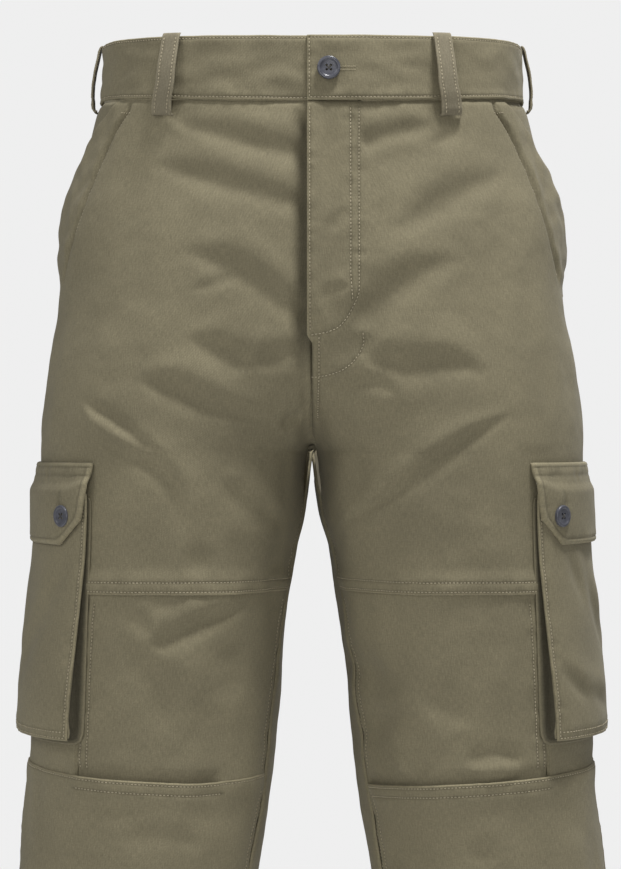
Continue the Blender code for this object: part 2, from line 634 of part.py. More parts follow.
def hip_facing(side):
    """Cloth behind the hip pocket's mouth, from the side seam to under the front."""
    levels = even_rows(FACING_ROWS, FACING_COLUMNS)

    def end(level):
        return math.radians(mouth_degrees(level)) + FACING_UNDER

    def lift(angles, levels, points):
        seam = np.radians(outseam_degrees(levels))
        mouth = np.radians(mouth_degrees(levels))
        shown = np.clip((angles - seam) / np.maximum(mouth - seam, 0.01), 0, 1)
        sunk = np.maximum(ramp(shown, 0.0, 1.0), ramp(levels, -0.110, -0.130))
        return -0.0002 - (FACING_SINK - 0.0002) * sunk

    trims = (HALF_GAP, 0.0)
    return panel(f"hip_facing_{side_name(side)}", side, levels, outseam, end, trims, lift)


def knee_levels(shares):
    """Rows of the knee and side panels, tucked under the laps above and below."""
    top = np.where(shares > SIDE_SHARE + 0.06, THIGH_SEAM + TUCK, THIGH_SEAM - GAP)
    edge = knee_seam(shares)
    rows = [top] + [np.full_like(shares, level) for level in KNEE_ROWS] + [edge, edge - TUCK]
    return np.stack(rows)


def no_lift(angles, levels, points):
    return np.zeros(levels.shape)


def knee_panel(side):
    """Front of the knee, between the vertical seam and the inseam."""
    shares = np.linspace(SIDE_SHARE, 1.0, FRONT_COLUMNS - SIDE_COLUMNS + 1)
    trims = (HALF_GAP, HALF_GAP)
    return panel(
        f"knee_panel_{side_name(side)}", side, knee_levels(shares), vertical_seam, inseam,
        trims, no_lift,
    )


def side_panel(side):
    """Side of the knee, under the bellows pocket."""
    shares = np.linspace(0.0, SIDE_SHARE, SIDE_COLUMNS + 1)
    trims = (HALF_GAP, HALF_GAP)
    return panel(
        f"side_panel_{side_name(side)}", side, knee_levels(shares), outseam, vertical_seam,
        trims, no_lift,
    )


def front_lower(side):
    """Lower front, whose folded top edge laps over the knee and side panels."""
    shares = np.linspace(0.0, 1.0, FRONT_COLUMNS + 1)
    edge = knee_seam(shares)
    rows = [edge, edge - TUCK, edge - 0.021]
    rows += [np.full_like(shares, level) for level in LOWER_ROWS]
    rows += [np.full_like(shares, HEM + HEM_TURN + at) for at in (0.004, 0.0)]
    rows += [np.full_like(shares, HEM)]

    def lift(angles, levels, points):
        down = edge[None, :] - levels
        near = np.where(down < TUCK + 1e-6, LAP, 0.0)
        return near + (KNEE_LIFT - LAP) * ramp(down, TUCK, 0.0)

    trims = (HALF_GAP, HALF_GAP)
    return panel(
        f"front_lower_{side_name(side)}", side, np.stack(rows), outseam, inseam, trims, lift,
        hem_wall,
    )


def back(side):
    """Back of the half, from the waistband to the hem in one piece."""
    rows = BACK_ROWS + [HEM + HEM_TURN + 0.004, HEM + HEM_TURN, HEM]
    trims = (HALF_GAP, HALF_GAP)

    def end(level):
        return back_middle(level)

    return panel(
        f"back_{side_name(side)}", side, even_rows(rows, BACK_COLUMNS), outseam, end, trims,
        no_lift, hem_wall,
    )


# ---- waistband and belt loops ----------------------------------------------------------

def waistband(side):
    """Half of the waistband, from the centre back to its overlap at the front."""
    reach = -FLY_EDGE if side > 0 else -BAND_UNDER
    levels = even_rows([BAND_BOTTOM, -BAND_FLAT, BAND_FLAT, BAND_TOP], BAND_COLUMNS)

    def start(level):
        return centre_angle(level, HALF_GAP, -1)

    def end(level):
        return centre_angle(level, reach)

    def lift(angles, levels, points):
        ahead = np.where(np.sin(angles) > 0, 1.0, 0.0)
        if side > 0:
            lap = BAND_LAP * ramp(points[..., 0], 0.070, BAND_UNDER + 0.005)
        else:
            lap = -BAND_LAP * ramp(points[..., 0], 0.045, 0.014)
        return BAND_OUT + lap * ahead

    def wall(levels):
        return np.full(levels.shape, BAND_WALL)

    return panel(
        f"waistband_{side_name(side)}", side, levels, start, end, (0.0, 0.0), lift, wall
    )


def loop_angle(loop):
    """Angle of a belt loop's middle on the band."""
    if loop.face == "side":
        return 0.0
    share = loop.x / outer_at(0.0)
    turn = math.acos(share ** (power_at(0.0) / 2))
    return turn if loop.face == "front" else -turn


def belt_loop(loop):
    """A folded strip, sewn under the band and at its top edge, bowed clear between them."""
    middle = loop_angle(loop)
    rings = []
    for across in (-LOOP_WIDTH / 2, 0.0, LOOP_WIDTH / 2):
        ring = []
        for point in LOOP_RUN:
            below = min(point.level - BAND_BOTTOM, 0.0)
            stretch = (loop.low - BAND_BOTTOM) / (LOOP_END - BAND_BOTTOM)
            level = point.level + below * (stretch - 1)
            off = point.off + point.bow * loop.bow
            angle = np.array([angle_along(0.0, middle, across + loop.lean * level)])
            at = np.array([level])
            ring.append((skin(angle, at) + off * outward(angle, at))[0])
        rings.append(ring)
    points = mirrored(loop.side, np.array(rings))
    return swept_solid(f"belt_loop_{loop.name}", points, TWILL_TAPE)


# ---- bellows pocket --------------------------------------------------------------------

def on_leg(along, level, off):
    """Point at a length of cloth in front of the pocket's middle, standing off the leg."""
    middle = POCKET_MIDDLE + POCKET_LEAN * (level - FLAP_TOP)
    angle = np.array([angle_along(level, outseam(level), middle + along)])
    at = np.array([level])
    return (skin(angle, at) + off * outward(angle, at))[0]


def leg_grid(places, offs):
    """Grid of points from (along, level) places and stand-offs."""
    rows = []
    for place_row, off_row in zip(places, offs):
        rows.append([on_leg(along, level, off) for (along, level), off in zip(place_row, off_row)])
    return np.array(rows)


def face_edge(level):
    """Half width of the pocket's front at a level."""
    return POCKET_HALF - bellows_inset(level)


def gusset_ring(along, level, inward):
    """Section of the folded gusset; inward points from the leg line into the pocket."""
    straight = inward[1] == 0
    edge = bellows_inset(level) if straight else FACE_BOTTOM_INSET
    fold, lip = GUSSET_DEPTH, GUSSET_DEPTH - 0.0015
    crease = lip - 0.0006
    # reach into the pocket, share of the height between leg and face, layers from there
    section = [
        (0.0, 0, 0), (lip, 0, 0), (fold, 0.5, 0), (lip, 1, 0), (edge, 1, 0),
        (edge, 1, -1), (crease, 1, -1), (fold - GUSSET_LAYER, 0.5, 0), (crease, 0, 1), (0.0, 0, 1),
    ]
    ring = []
    for reach, share, layers in section:
        place = level + inward[1] * reach
        room = bellows_off(place) - FACE_SEAT - GUSSET_SEAT
        off = GUSSET_SEAT + share * room + layers * GUSSET_LAYER
        ring.append(on_leg(along + inward[0] * reach, place, off))
    return ring


def cargo_gusset(side):
    """Bellows strip round the sides and bottom of the pocket, folded in under its face."""
    rings = []
    side_rows = [GUSSET_TOP, *POCKET_ROWS]
    for level in side_rows:
        rings.append(gusset_ring(POCKET_HALF, level, (-1.0, 0.0)))
    rings.append(gusset_ring(POCKET_HALF, POCKET_BOTTOM, (-1.0, 1.0)))
    inner_half = POCKET_HALF - GUSSET_DEPTH - 0.002
    for along in np.linspace(inner_half, -inner_half, GUSSET_BOTTOM_STEPS + 1):
        rings.append(gusset_ring(along, POCKET_BOTTOM, (0.0, 1.0)))
    rings.append(gusset_ring(-POCKET_HALF, POCKET_BOTTOM, (1.0, 1.0)))
    for level in reversed(side_rows):
        rings.append(gusset_ring(-POCKET_HALF, level, (1.0, 0.0)))
    points = mirrored(side, np.array(rings))
    return swept_solid(f"cargo_gusset_{side_name(side)}", points, TWILL)


def cargo_face(side):
    """Front of the bellows pocket, hanging further off the leg towards its bottom."""
    shares = np.linspace(-1.0, 1.0, FACE_COLUMNS + 1)
    places, offs = [], []
    for level in [FACE_TOP, *POCKET_ROWS, POCKET_BOTTOM + FACE_BOTTOM_INSET]:
        places.append([(share * face_edge(level), level) for share in shares])
        offs.append([float(bellows_off(level))] * len(shares))
    inner = leg_grid(places, offs)
    outer = leg_grid(places, [[off + FACE_WALL for off in row] for row in offs])
    name = f"cargo_face_{side_name(side)}"
    return cloth_solid(name, mirrored(side, outer), mirrored(side, inner))


def flap_bottom(along):
    """Level of the flap's lower edge: straight, with its two corners cut off."""
    past = abs(along) - (FLAP_HALF - FLAP_CORNER)
    return FLAP_BOTTOM + max(past, 0.0) / FLAP_CORNER * (FLAP_CORNER_LEVEL - FLAP_BOTTOM)


def cargo_flap(side):
    """Two-layer flap, sewn to the leg above the pocket and lying over its mouth."""
    steps = [-1.0 + 2.0 * i / FACE_COLUMNS for i in range(FACE_COLUMNS + 1)]
    alongs = [share * FLAP_HALF for share in steps]
    alongs[1], alongs[-2] = -(FLAP_HALF - FLAP_CORNER), FLAP_HALF - FLAP_CORNER
    places, offs = [], []
    for row in FLAP_ROWS:
        drops = [row.share * (FLAP_TOP - flap_bottom(along)) for along in alongs]
        places.append([
            (along * (1 - FLAP_TAPER * drop / FLAP_HALF), FLAP_TOP - drop)
            for along, drop in zip(alongs, drops)
        ])
        offs.append([row.off] * len(alongs))
    inner = leg_grid(places, offs)
    outer = leg_grid(places, [[off + FLAP_WALL for off in row] for row in offs])
    name = f"cargo_flap_{side_name(side)}"
    return cloth_solid(name, mirrored(side, outer), mirrored(side, inner))


# ---- buttons ---------------------------------------------------------------------------

def button_mesh(name, size):
    """Turned disc with a raised rim round a shallow dish, on +Z, its back at z = 0."""
    edge = 0.0006
    outline = [
        (0.0, 0.0),
        (size.radius - edge, 0.0),
        (size.radius, edge),
        (size.radius, size.thick - edge),
        (size.radius - edge, size.thick),
        (size.radius - size.rim, size.thick),
        (size.radius - size.rim - edge, size.thick - size.dish),
        (0.0, size.thick - size.dish),
    ]
    bm = bmesh.new()
    verts = [bm.verts.new((r, 0.0, z)) for r, z in outline]
    edges = [bm.edges.new(pair) for pair in zip(verts, verts[1:])]
    bmesh.ops.spin(
        bm, geom=verts + edges, cent=(0, 0, 0), axis=(0, 0, 1), angle=2 * math.pi,
        steps=size.sides, use_merge=True,
    )
    bmesh.ops.remove_doubles(bm, verts=bm.verts, dist=1e-6)
    return finish_mesh(name, bm)


def facing_out(point, normal):
    """Matrix that stands a button on a point, looking along the normal."""
    turn = Vector(normal).to_track_quat("Z", "Y")
    return Matrix.Translation(Vector(point)) @ turn.to_matrix().to_4x4()


def add_button(name, size, point, normal, holes):
    """A button on the cloth, its thread holes cut by hidden cylinders."""
    button = add_object(name, button_mesh(name, size), SLATE, 0.35)
    button.matrix_world = facing_out(point, normal)
    for i in range(BUTTON_HOLES if holes else 0):
        turn = math.pi / 4 + i * 2 * math.pi / BUTTON_HOLES
        bm = bmesh.new()
        bmesh.ops.create_cone(
            bm, cap_ends=True, segments=8, radius1=BUTTON_HOLE, radius2=BUTTON_HOLE, depth=0.02
        )
        mesh = bpy.data.meshes.new(f"{name}_cutter_{i}")
        bm.to_mesh(mesh)
        bm.free()
        cutter = bpy.data.objects.new(mesh.name, mesh)
        bpy.context.collection.objects.link(cutter)
        place = Vector((math.cos(turn), math.sin(turn), 0.0)) * BUTTON_HOLE_RING
        cutter.matrix_world = facing_out(point, normal) @ Matrix.Translation(place)
        cutter.hide_render = True
        cutter.display_type = "WIRE"
        cut = button.modifiers.new(f"hole_{i}", "BOOLEAN")
        cut.operation = "DIFFERENCE"
        cut.object = cutter
    return button


def waist_button():
    """Button on the left half's overlap, over the centre front."""
    share = WAIST_BUTTON_X / outer_at(0.0)
    angle = np.array([math.acos(share ** (power_at(0.0) / 2))])
    level = np.array([0.0])
    normal = outward(angle, level)[0]
    point = skin(angle, level)[0] + normal * (BAND_OUT + BAND_LAP + GAP)
    add_button("waist_button", WAIST_BUTTON, point, normal, holes=True)


def flap_button(side, end):
    """Button near one end of the flap; end is +1 towards the front."""
    along = end * (FLAP_HALF - FLAP_BUTTON_IN)
    level = FLAP_BUTTON_LEVEL
    seat = on_leg(along, level, FLAP_OFF + FLAP_WALL + GAP)
    above = on_leg(along, level, FLAP_OFF + FLAP_WALL + GAP + 0.01)
    seat, above = mirrored(side, seat), mirrored(side, above)
    where = "front" if end > 0 else "back"
    name = f"flap_button_{where}_{side_name(side)}"
    add_button(name, FLAP_BUTTON, seat, above - seat, holes=False)


# ---- the garment -----------------------------------------------------------------------

def build():
    for item in list(bpy.data.objects):
        bpy.data.objects.remove(item, do_unlink=True)
    for side in (1, -1):
        front_upper(side)
        hip_facing(side)
        knee_panel(side)
        side_panel(side)
        front_lower(side)
        back(side)
        waistband(side)
        cargo_gusset(side)
        cargo_face(side)
        cargo_flap(side)
        for end in (1, -1):
            flap_button(side, end)
    for loop in LOOPS:
        belt_loop(loop)
    waist_button()
    bpy.context.view_layer.update()


build()
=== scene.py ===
# %% [markdown]
# # Cargo pants
#
# These are cotton twill trousers, filled out as if someone wore them, with nothing inside.
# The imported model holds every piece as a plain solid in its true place. This lesson lays a
# finer cloth over each solid: the same worn form, with smaller folds, rolled edges, sewn
# rows, thread, turned buttons and a twill finish. Nothing here moves or resizes the solids.

import math
from collections import namedtuple

import bmesh
import bpy
import numpy as np
from mathutils import Matrix, Vector, noise
from mathutils.bvhtree import BVHTree


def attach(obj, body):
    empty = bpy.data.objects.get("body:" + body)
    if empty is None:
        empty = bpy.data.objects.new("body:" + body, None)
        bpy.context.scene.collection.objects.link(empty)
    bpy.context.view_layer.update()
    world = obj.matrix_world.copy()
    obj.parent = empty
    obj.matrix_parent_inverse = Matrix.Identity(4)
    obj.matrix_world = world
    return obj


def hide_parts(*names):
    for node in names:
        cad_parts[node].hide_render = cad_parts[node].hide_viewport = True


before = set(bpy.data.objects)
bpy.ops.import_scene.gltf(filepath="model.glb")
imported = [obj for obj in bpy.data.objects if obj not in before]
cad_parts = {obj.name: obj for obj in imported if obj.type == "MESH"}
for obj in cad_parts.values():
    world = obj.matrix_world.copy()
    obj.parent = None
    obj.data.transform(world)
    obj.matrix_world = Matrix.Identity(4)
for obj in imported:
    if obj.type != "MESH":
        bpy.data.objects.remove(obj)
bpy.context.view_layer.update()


# %% Objects and meshes
def add_object(name, data):
    """An object for a mesh, camera or light, linked to the scene."""
    item = bpy.data.objects.new(name, data)
    bpy.context.collection.objects.link(item)
    return item


def mesh_of(bm, name):
    """A mesh made from a bmesh, which is then let go."""
    mesh = bpy.data.meshes.new(name)
    bm.to_mesh(mesh)
    bm.free()
    return mesh


def pour(part, whole):
    """Adds one bmesh to another."""
    scrap = mesh_of(part, "scrap")
    whole.from_mesh(scrap)
    bpy.data.meshes.remove(scrap)


# %% [markdown]
# ## The camera
#
# The trousers are seen straight from the front, level with the hips, through a long lens.
# A long lens keeps the two legs the same size, and a level camera keeps them upright, so the
# shift stays at zero. The lens is worked out from how many pixels wide one metre appears.

# %% Camera
PICTURE_HEIGHT = 869            # pixels
FOCAL_PIXELS = 2693
SENSOR = 36.0
CAMERA_PLACE = Vector((-0.0011, -2.0, -0.2568))

camera_data = bpy.data.cameras.new("camera")
camera_data.sensor_width = SENSOR
camera_data.lens = SENSOR * FOCAL_PIXELS / PICTURE_HEIGHT
camera = add_object("camera", camera_data)
camera.location = CAMERA_PLACE
camera.rotation_euler = (math.radians(90), 0, 0)
bpy.context.scene.camera = camera
print("lens in mm:", round(camera_data.lens, 1))

# %% [markdown]
# ## The worn form
#
# Each half of the garment is one tube of cloth round a hip and a leg. A point of the tube
# has an angle (0 at the side, +90 degrees at the front, 180 at the inside of the leg) and a
# level, which is its height apart from the slope of the waist. A short table of sections
# gives the tube's width and depth at each height, and a smooth curve runs through each
# column. The cloth below uses the same form as the solids, so it can't drift away from them.

# %% Driving sizes in metres
GAP = 0.0003                    # air between two pieces that are sewn together
HALF_GAP = GAP / 2
CLOTH = 0.0012                  # one layer of twill
LAP = 0.0018                    # how far an upper layer stands off where it laps a lower one

BAND_TOP, BAND_BOTTOM = 0.0238, -0.0227
BAND_WALL = 0.0023
BAND_OUT = 0.0012               # the band's outer face stands proud of the panels
BAND_LAP = 0.0015               # each half leaves the middle line by this at the overlap
BAND_UNDER = 0.035              # length of the right half that runs under the left one

FLY_LAP = 0.00095               # half the step between the two halves at the fly
FLY_EDGE = 0.0037               # how far the left half runs past the middle at the fly
FLY_UNDER = 0.005               # how far the right half runs under it
CENTRE_UNDER = 0.0016           # the same, at the centre seams
FLY_END = -0.186                # below this the fly narrows to a seam
FLY_CLOSED = -0.194

CROTCH = -0.2705
THIGH_SEAM = -0.370
KNEE_SEAM = -0.4945             # at the outseam
KNEE_SEAM_DROP = 0.0135         # how much lower it is at the inseam
TUCK = 0.008                    # how far a panel runs on under the one that laps it
HEM = -1.070
HEM_TURN = 0.025                # from the hem up to its row of stitches
LEG_DRIFT = 0.0027              # how far the knees' inner sides lie to the wearer's left
SIDE_SHARE = 0.35               # the seam beside the knee, as a share of the front's width
POCKET_END = -0.1435            # where the hip pocket's mouth meets the side seam

Section = namedtuple("Section", "z outer centre inner front back power valley")
SECTIONS = [
    Section(0.0450, 0.1534, 0.0000, -0.1534, 0.1094, 0.1150, 2.35, 0.0120),
    Section(-0.0080, 0.1550, 0.0000, -0.1550, 0.1112, 0.1185, 2.35, 0.0120),
    Section(-0.0220, 0.1598, 0.0000, -0.1598, 0.1117, 0.1215, 2.35, 0.0120),
    Section(-0.0450, 0.1660, 0.0000, -0.1662, 0.1140, 0.1250, 2.33, 0.0120),
    Section(-0.0700, 0.1742, 0.0040, -0.1700, 0.1155, 0.1300, 2.30, 0.0120),
    Section(-0.0950, 0.1812, 0.0140, -0.1700, 0.1170, 0.1350, 2.30, 0.0120),
    Section(-0.1200, 0.1844, 0.0280, -0.1580, 0.1180, 0.1385, 2.30, 0.0120),
    Section(-0.1450, 0.1855, 0.0440, -0.1420, 0.1182, 0.1405, 2.30, 0.0120),
    Section(-0.1700, 0.1878, 0.0600, -0.1220, 0.1180, 0.1410, 2.30, 0.0120),
    Section(-0.2000, 0.1937, 0.0780, -0.0920, 0.1172, 0.1395, 2.30, 0.0110),
    Section(-0.2250, 0.1968, 0.0900, -0.0600, 0.1165, 0.1365, 2.28, 0.0080),
    Section(-0.2480, 0.1993, 0.0980, -0.0260, 0.1155, 0.1340, 2.25, 0.0030),
    Section(-0.2620, 0.1999, 0.1005, -0.0080, 0.1150, 0.1322, 2.22, 0.0008),
    Section(-0.2700, 0.2002, 0.1010, 0.0000, 0.1147, 0.1312, 2.20, 0.0000),
    Section(-0.3000, 0.2001, 0.1020, 0.0039, 0.1135, 0.1260, 2.18, 0.0000),
    Section(-0.3200, 0.2003, 0.1036, 0.0068, 0.1123, 0.1230, 2.17, 0.0000),
    Section(-0.3400, 0.2008, 0.1063, 0.0118, 0.1110, 0.1200, 2.15, 0.0000),
    Section(-0.4000, 0.2035, 0.1129, 0.0222, 0.1060, 0.1120, 2.15, 0.0000),
    Section(-0.4800, 0.2073, 0.1178, 0.0283, 0.0990, 0.1050, 2.15, 0.0000),
    Section(-0.5050, 0.2083, 0.1195, 0.0307, 0.0975, 0.1035, 2.15, 0.0000),
    Section(-0.5300, 0.2112, 0.1228, 0.0343, 0.0955, 0.1020, 2.15, 0.0000),
    Section(-0.5800, 0.2167, 0.1298, 0.0428, 0.0920, 0.0995, 2.15, 0.0000),
    Section(-0.7000, 0.2240, 0.1420, 0.0600, 0.0800, 0.0960, 2.12, 0.0000),
    Section(-0.8500, 0.2315, 0.1533, 0.0750, 0.0700, 0.0910, 2.10, 0.0000),
    Section(-1.0000, 0.2380, 0.1620, 0.0860, 0.0645, 0.0860, 2.10, 0.0000),
    Section(-1.0750, 0.2405, 0.1653, 0.0900, 0.0630, 0.0840, 2.10, 0.0000),
]
SeamAngle = namedtuple("SeamAngle", "level degrees")
OUTSEAM = [
    SeamAngle(0.050, -4.0), SeamAngle(-0.150, -4.0), SeamAngle(-0.250, -1.0),
    SeamAngle(-0.370, 2.0), SeamAngle(-0.500, 4.0), SeamAngle(-1.100, 4.0),
]
INSEAM = [
    SeamAngle(-0.270, 180.0), SeamAngle(-0.300, 174.0), SeamAngle(-0.400, 166.0),
    SeamAngle(-0.480, 161.0), SeamAngle(-0.580, 158.0), SeamAngle(-1.100, 158.0),
]
POCKET_MOUTH = [
    SeamAngle(-0.0100, 38.0), SeamAngle(-0.0227, 31.5), SeamAngle(-0.0440, 18.5),
    SeamAngle(-0.0600, 9.5), SeamAngle(-0.0850, 2.5), SeamAngle(-0.1100, -1.0),
    SeamAngle(POCKET_END, -4.0), SeamAngle(-0.1600, -4.0),
]
POCKET_FRONT = [SeamAngle(-0.272, 59.3), SeamAngle(-0.370, 62.1), SeamAngle(-0.490, 63.5)]
Slope = namedtuple("Slope", "side back")
TOP_SLOPE = Slope(0.0050, 0.0140)
BOTTOM_SLOPE = Slope(0.0095, 0.0110)
SLOPE_ENDS = -0.120             # below this the rows are level


# %% Smooth curves through the tables
def curve_through(table, column):
    """Returns a function that reads a table's column along a smooth curve."""
    rows = sorted(table)
    at = np.array([row[0] for row in rows])
    value = np.array([getattr(row, column) for row in rows])
    step = np.diff(at)
    rate = np.diff(value) / step
    slope = np.zeros(len(rows))
    slope[0], slope[-1] = rate[0], rate[-1]
    for i in range(1, len(rows) - 1):
        if rate[i - 1] * rate[i] > 0:
            slope[i] = 2 * rate[i - 1] * rate[i] / (rate[i - 1] + rate[i])

    def value_at(place):
        place = np.clip(place, at[0], at[-1])
        i = np.clip(np.searchsorted(at, place) - 1, 0, len(at) - 2)
        t = (place - at[i]) / step[i]
        rising = t * t * (3 - 2 * t)
        bend = step[i] * (slope[i] * t * (1 - t) ** 2 - slope[i + 1] * t * t * (1 - t))
        return value[i] * (1 - rising) + value[i + 1] * rising + bend

    return value_at


def ramp(value, start, end):
    """Goes smoothly from 0 at start to 1 at end."""
    t = np.clip((value - start) / (end - start), 0.0, 1.0)
    return t * t * (3 - 2 * t)


def run_along(points):
    """Length of a line up to each of its points."""
    steps = np.linalg.norm(np.diff(points, axis=0), axis=1)
    return np.concatenate([[0.0], np.cumsum(steps)])


outer_at = curve_through(SECTIONS, "outer")
centre_at = curve_through(SECTIONS, "centre")
inner_at = curve_through(SECTIONS, "inner")
front_at = curve_through(SECTIONS, "front")
back_at = curve_through(SECTIONS, "back")
power_at = curve_through(SECTIONS, "power")
valley_at = curve_through(SECTIONS, "valley")
outseam_degrees = curve_through(OUTSEAM, "degrees")
inseam_degrees = curve_through(INSEAM, "degrees")
mouth_degrees = curve_through(POCKET_MOUTH, "degrees")
pocket_degrees = curve_through(POCKET_FRONT, "degrees")
print("hip width in mm:", round(2000 * float(outer_at(-0.20))))


# %% The tube's surface
def height(angle, level):
    """Real height of a level: the waist runs a little higher at the sides and the back."""
    side = np.cos(angle) ** 2
    back = np.where(np.sin(angle) < 0, np.sin(angle) ** 2, 0.0)
    top = TOP_SLOPE.side * side + TOP_SLOPE.back * back
    bottom = BOTTOM_SLOPE.side * side + BOTTOM_SLOPE.back * back
    up_the_band = np.clip((level - BAND_BOTTOM) / (BAND_TOP - BAND_BOTTOM), 0.0, 1.0)
    return level + (bottom + (top - bottom) * up_the_band) * ramp(level, SLOPE_ENDS, BAND_BOTTOM)


def skin(angle, level):
    """Points of the left half's outer face, before folds and laps."""
    z = height(angle, level)
    outer, centre, inner, power = outer_at(z), centre_at(z), inner_at(z), power_at(z)
    across = np.cos(angle)
    reach = np.where(across >= 0, outer - centre, centre - inner)
    x = centre + np.sign(across) * reach * np.abs(across) ** (2 / power)
    valley = valley_at(z) + 1e-9
    rounded = np.abs(x) + valley * np.exp(-np.abs(x) / valley)
    share = np.abs(rounded - centre) / np.where(rounded >= centre, outer - centre, centre - inner)
    depth = np.where(np.sin(angle) >= 0, front_at(z), back_at(z))
    y = -np.sign(np.sin(angle)) * depth * (1 - np.clip(share, 0, 1) ** power) ** (1 / power)
    return np.stack([x, y, z], axis=-1)


def outward(angle, level):
    """Unit normals of the skin."""
    turn, climb = 0.006, 0.0006
    along = skin(angle + turn, level) - skin(angle - turn, level)
    up = skin(angle, level + climb) - skin(angle, level - climb)
    normal = np.cross(up, along)
    return normal / np.linalg.norm(normal, axis=-1, keepdims=True)


def place_angle(level, x, face=1):
    """Angle where the skin reaches x at a level; face is 1 for the front, -1 for the back."""
    level = np.asarray(level, float)
    angle = np.full(level.shape, face * math.pi / 2)
    for _ in range(4):
        z = height(angle, level)
        reach = np.where(x >= centre_at(z), outer_at(z) - centre_at(z), centre_at(z) - inner_at(z))
        share = (x - centre_at(z)) / reach
        across = np.sign(share) * np.abs(share) ** (power_at(z) / 2)
        angle = face * np.arccos(np.clip(across, -1, 1))
    return angle


def on_front(x, z):
    """Angle and level of a point of the front, given where it is seen from straight ahead."""
    level = np.asarray(z, float)
    for _ in range(4):
        angle = place_angle(level, x)
        level = z - (height(angle, level) - level)
    return angle, level


# %% Where rows of cloth start and end
STEPS_ROUND = 160
FINE_STEPS = np.array([0.0, 0.0004, 0.0010, 0.0018, 0.0028])


def outseam(level):
    return np.radians(outseam_degrees(level))


def inseam(level):
    return np.radians(inseam_degrees(level))


def front_middle(level, x):
    """Where a front panel ends: the centre front, and the inseam below the crotch."""
    return np.where(level <= CROTCH, inseam(level), place_angle(level, x))


def back_middle(level, x=HALF_GAP):
    """The same for a back panel, on the other side of the tube."""
    return np.where(level <= CROTCH, inseam(level) - 2 * math.pi, place_angle(level, x, -1))


def row_runs(levels, starts, ends):
    """Angles across each row from start to end, and the length of cloth to each of them."""
    steps = np.linspace(0, 1, STEPS_ROUND)
    angles = starts[:, None] + (ends - starts)[:, None] * steps
    points = skin(angles, np.repeat(levels[:, None], STEPS_ROUND, axis=1))
    lengths = np.linalg.norm(np.diff(points, axis=1), axis=2)
    return angles, np.concatenate([np.zeros((len(levels), 1)), np.cumsum(lengths, axis=1)], axis=1)


def places_from_edge(rows=(), reach=0.0, fine=True):
    """Distances from an edge that get a grid line: close ones at the edge and beside stitches."""
    found = list(FINE_STEPS) if fine else [0.0]
    for row in rows:
        found += [row + step for step in (-0.0018, -0.0009, -0.0004, 0.0, 0.0004, 0.0009, 0.0018)]
    if reach:
        found += list(np.arange(FINE_STEPS[-1], reach + 0.0001, 0.0018))
    kept = [0.0]
    for place in sorted(found):
        if place - kept[-1] > 0.00035:
            kept.append(place)
    return np.array(kept)


def places_between(length, low, high, count):
    """Grid lines over a length: fixed places from both edges, and count even ones between."""
    inner = np.linspace(low[-1], length - high[-1], count + 2)[1:-1]
    return np.concatenate([low, inner, length - high[::-1]])


def count_between(length, low, high, pitch):
    return max(1, round((length - low[-1] - high[-1]) / pitch) - 1)


def shared_angles(levels, low, high, count, start, end, trims=(0.0, 0.0)):
    """Angle of every grid point, and its lengths of cloth from the row's start and end."""
    fine = np.arange(levels.min() - 0.001, levels.max() + 0.002, 0.001)
    angles, runs = row_runs(fine, start(fine), end(fine))
    columns = np.empty((len(fine), levels.shape[1]))
    along = np.empty(columns.shape)
    lengths = runs[:, -1] - trims[0] - trims[1]
    for row, length in enumerate(lengths):
        along[row] = places_between(length, low, high, count)
        columns[row] = np.interp(trims[0] + along[row], runs[row], angles[row])
    place = [np.interp(levels[:, i], fine, columns[:, i]) for i in range(levels.shape[1])]
    run = [np.interp(levels[:, i], fine, along[:, i]) for i in range(levels.shape[1])]
    length = np.interp(levels, fine, lengths)
    return np.stack(place, axis=1), np.stack(run, axis=1), length


def along_leg(level, start, lengths):
    """Angles reached from start after lengths of cloth, towards the front if positive."""
    steps = np.radians(np.linspace(-170, 170, 2 * STEPS_ROUND + 1))
    points = skin(start + steps, np.full_like(steps, level))
    run = run_along(points)
    return np.interp(lengths, run - run[STEPS_ROUND], start + steps)


def vertical_seam(levels):
    """Seam between the knee panel and the side panel."""
    angles, runs = row_runs(levels, outseam(levels), inseam(levels))
    return np.array([np.interp(SIDE_SHARE * run[-1], run, angle) for run, angle in zip(runs, angles)])


half_turn = np.array([math.pi / 2])
outer_half = row_runs(np.array([HEM]), -half_turn, half_turn)[1][0, -1]
inner_half = row_runs(np.array([HEM]), half_turn, 3 * half_turn)[1][0, -1]
print("hem round in mm:", round(1000 * float(outer_half + inner_half)))
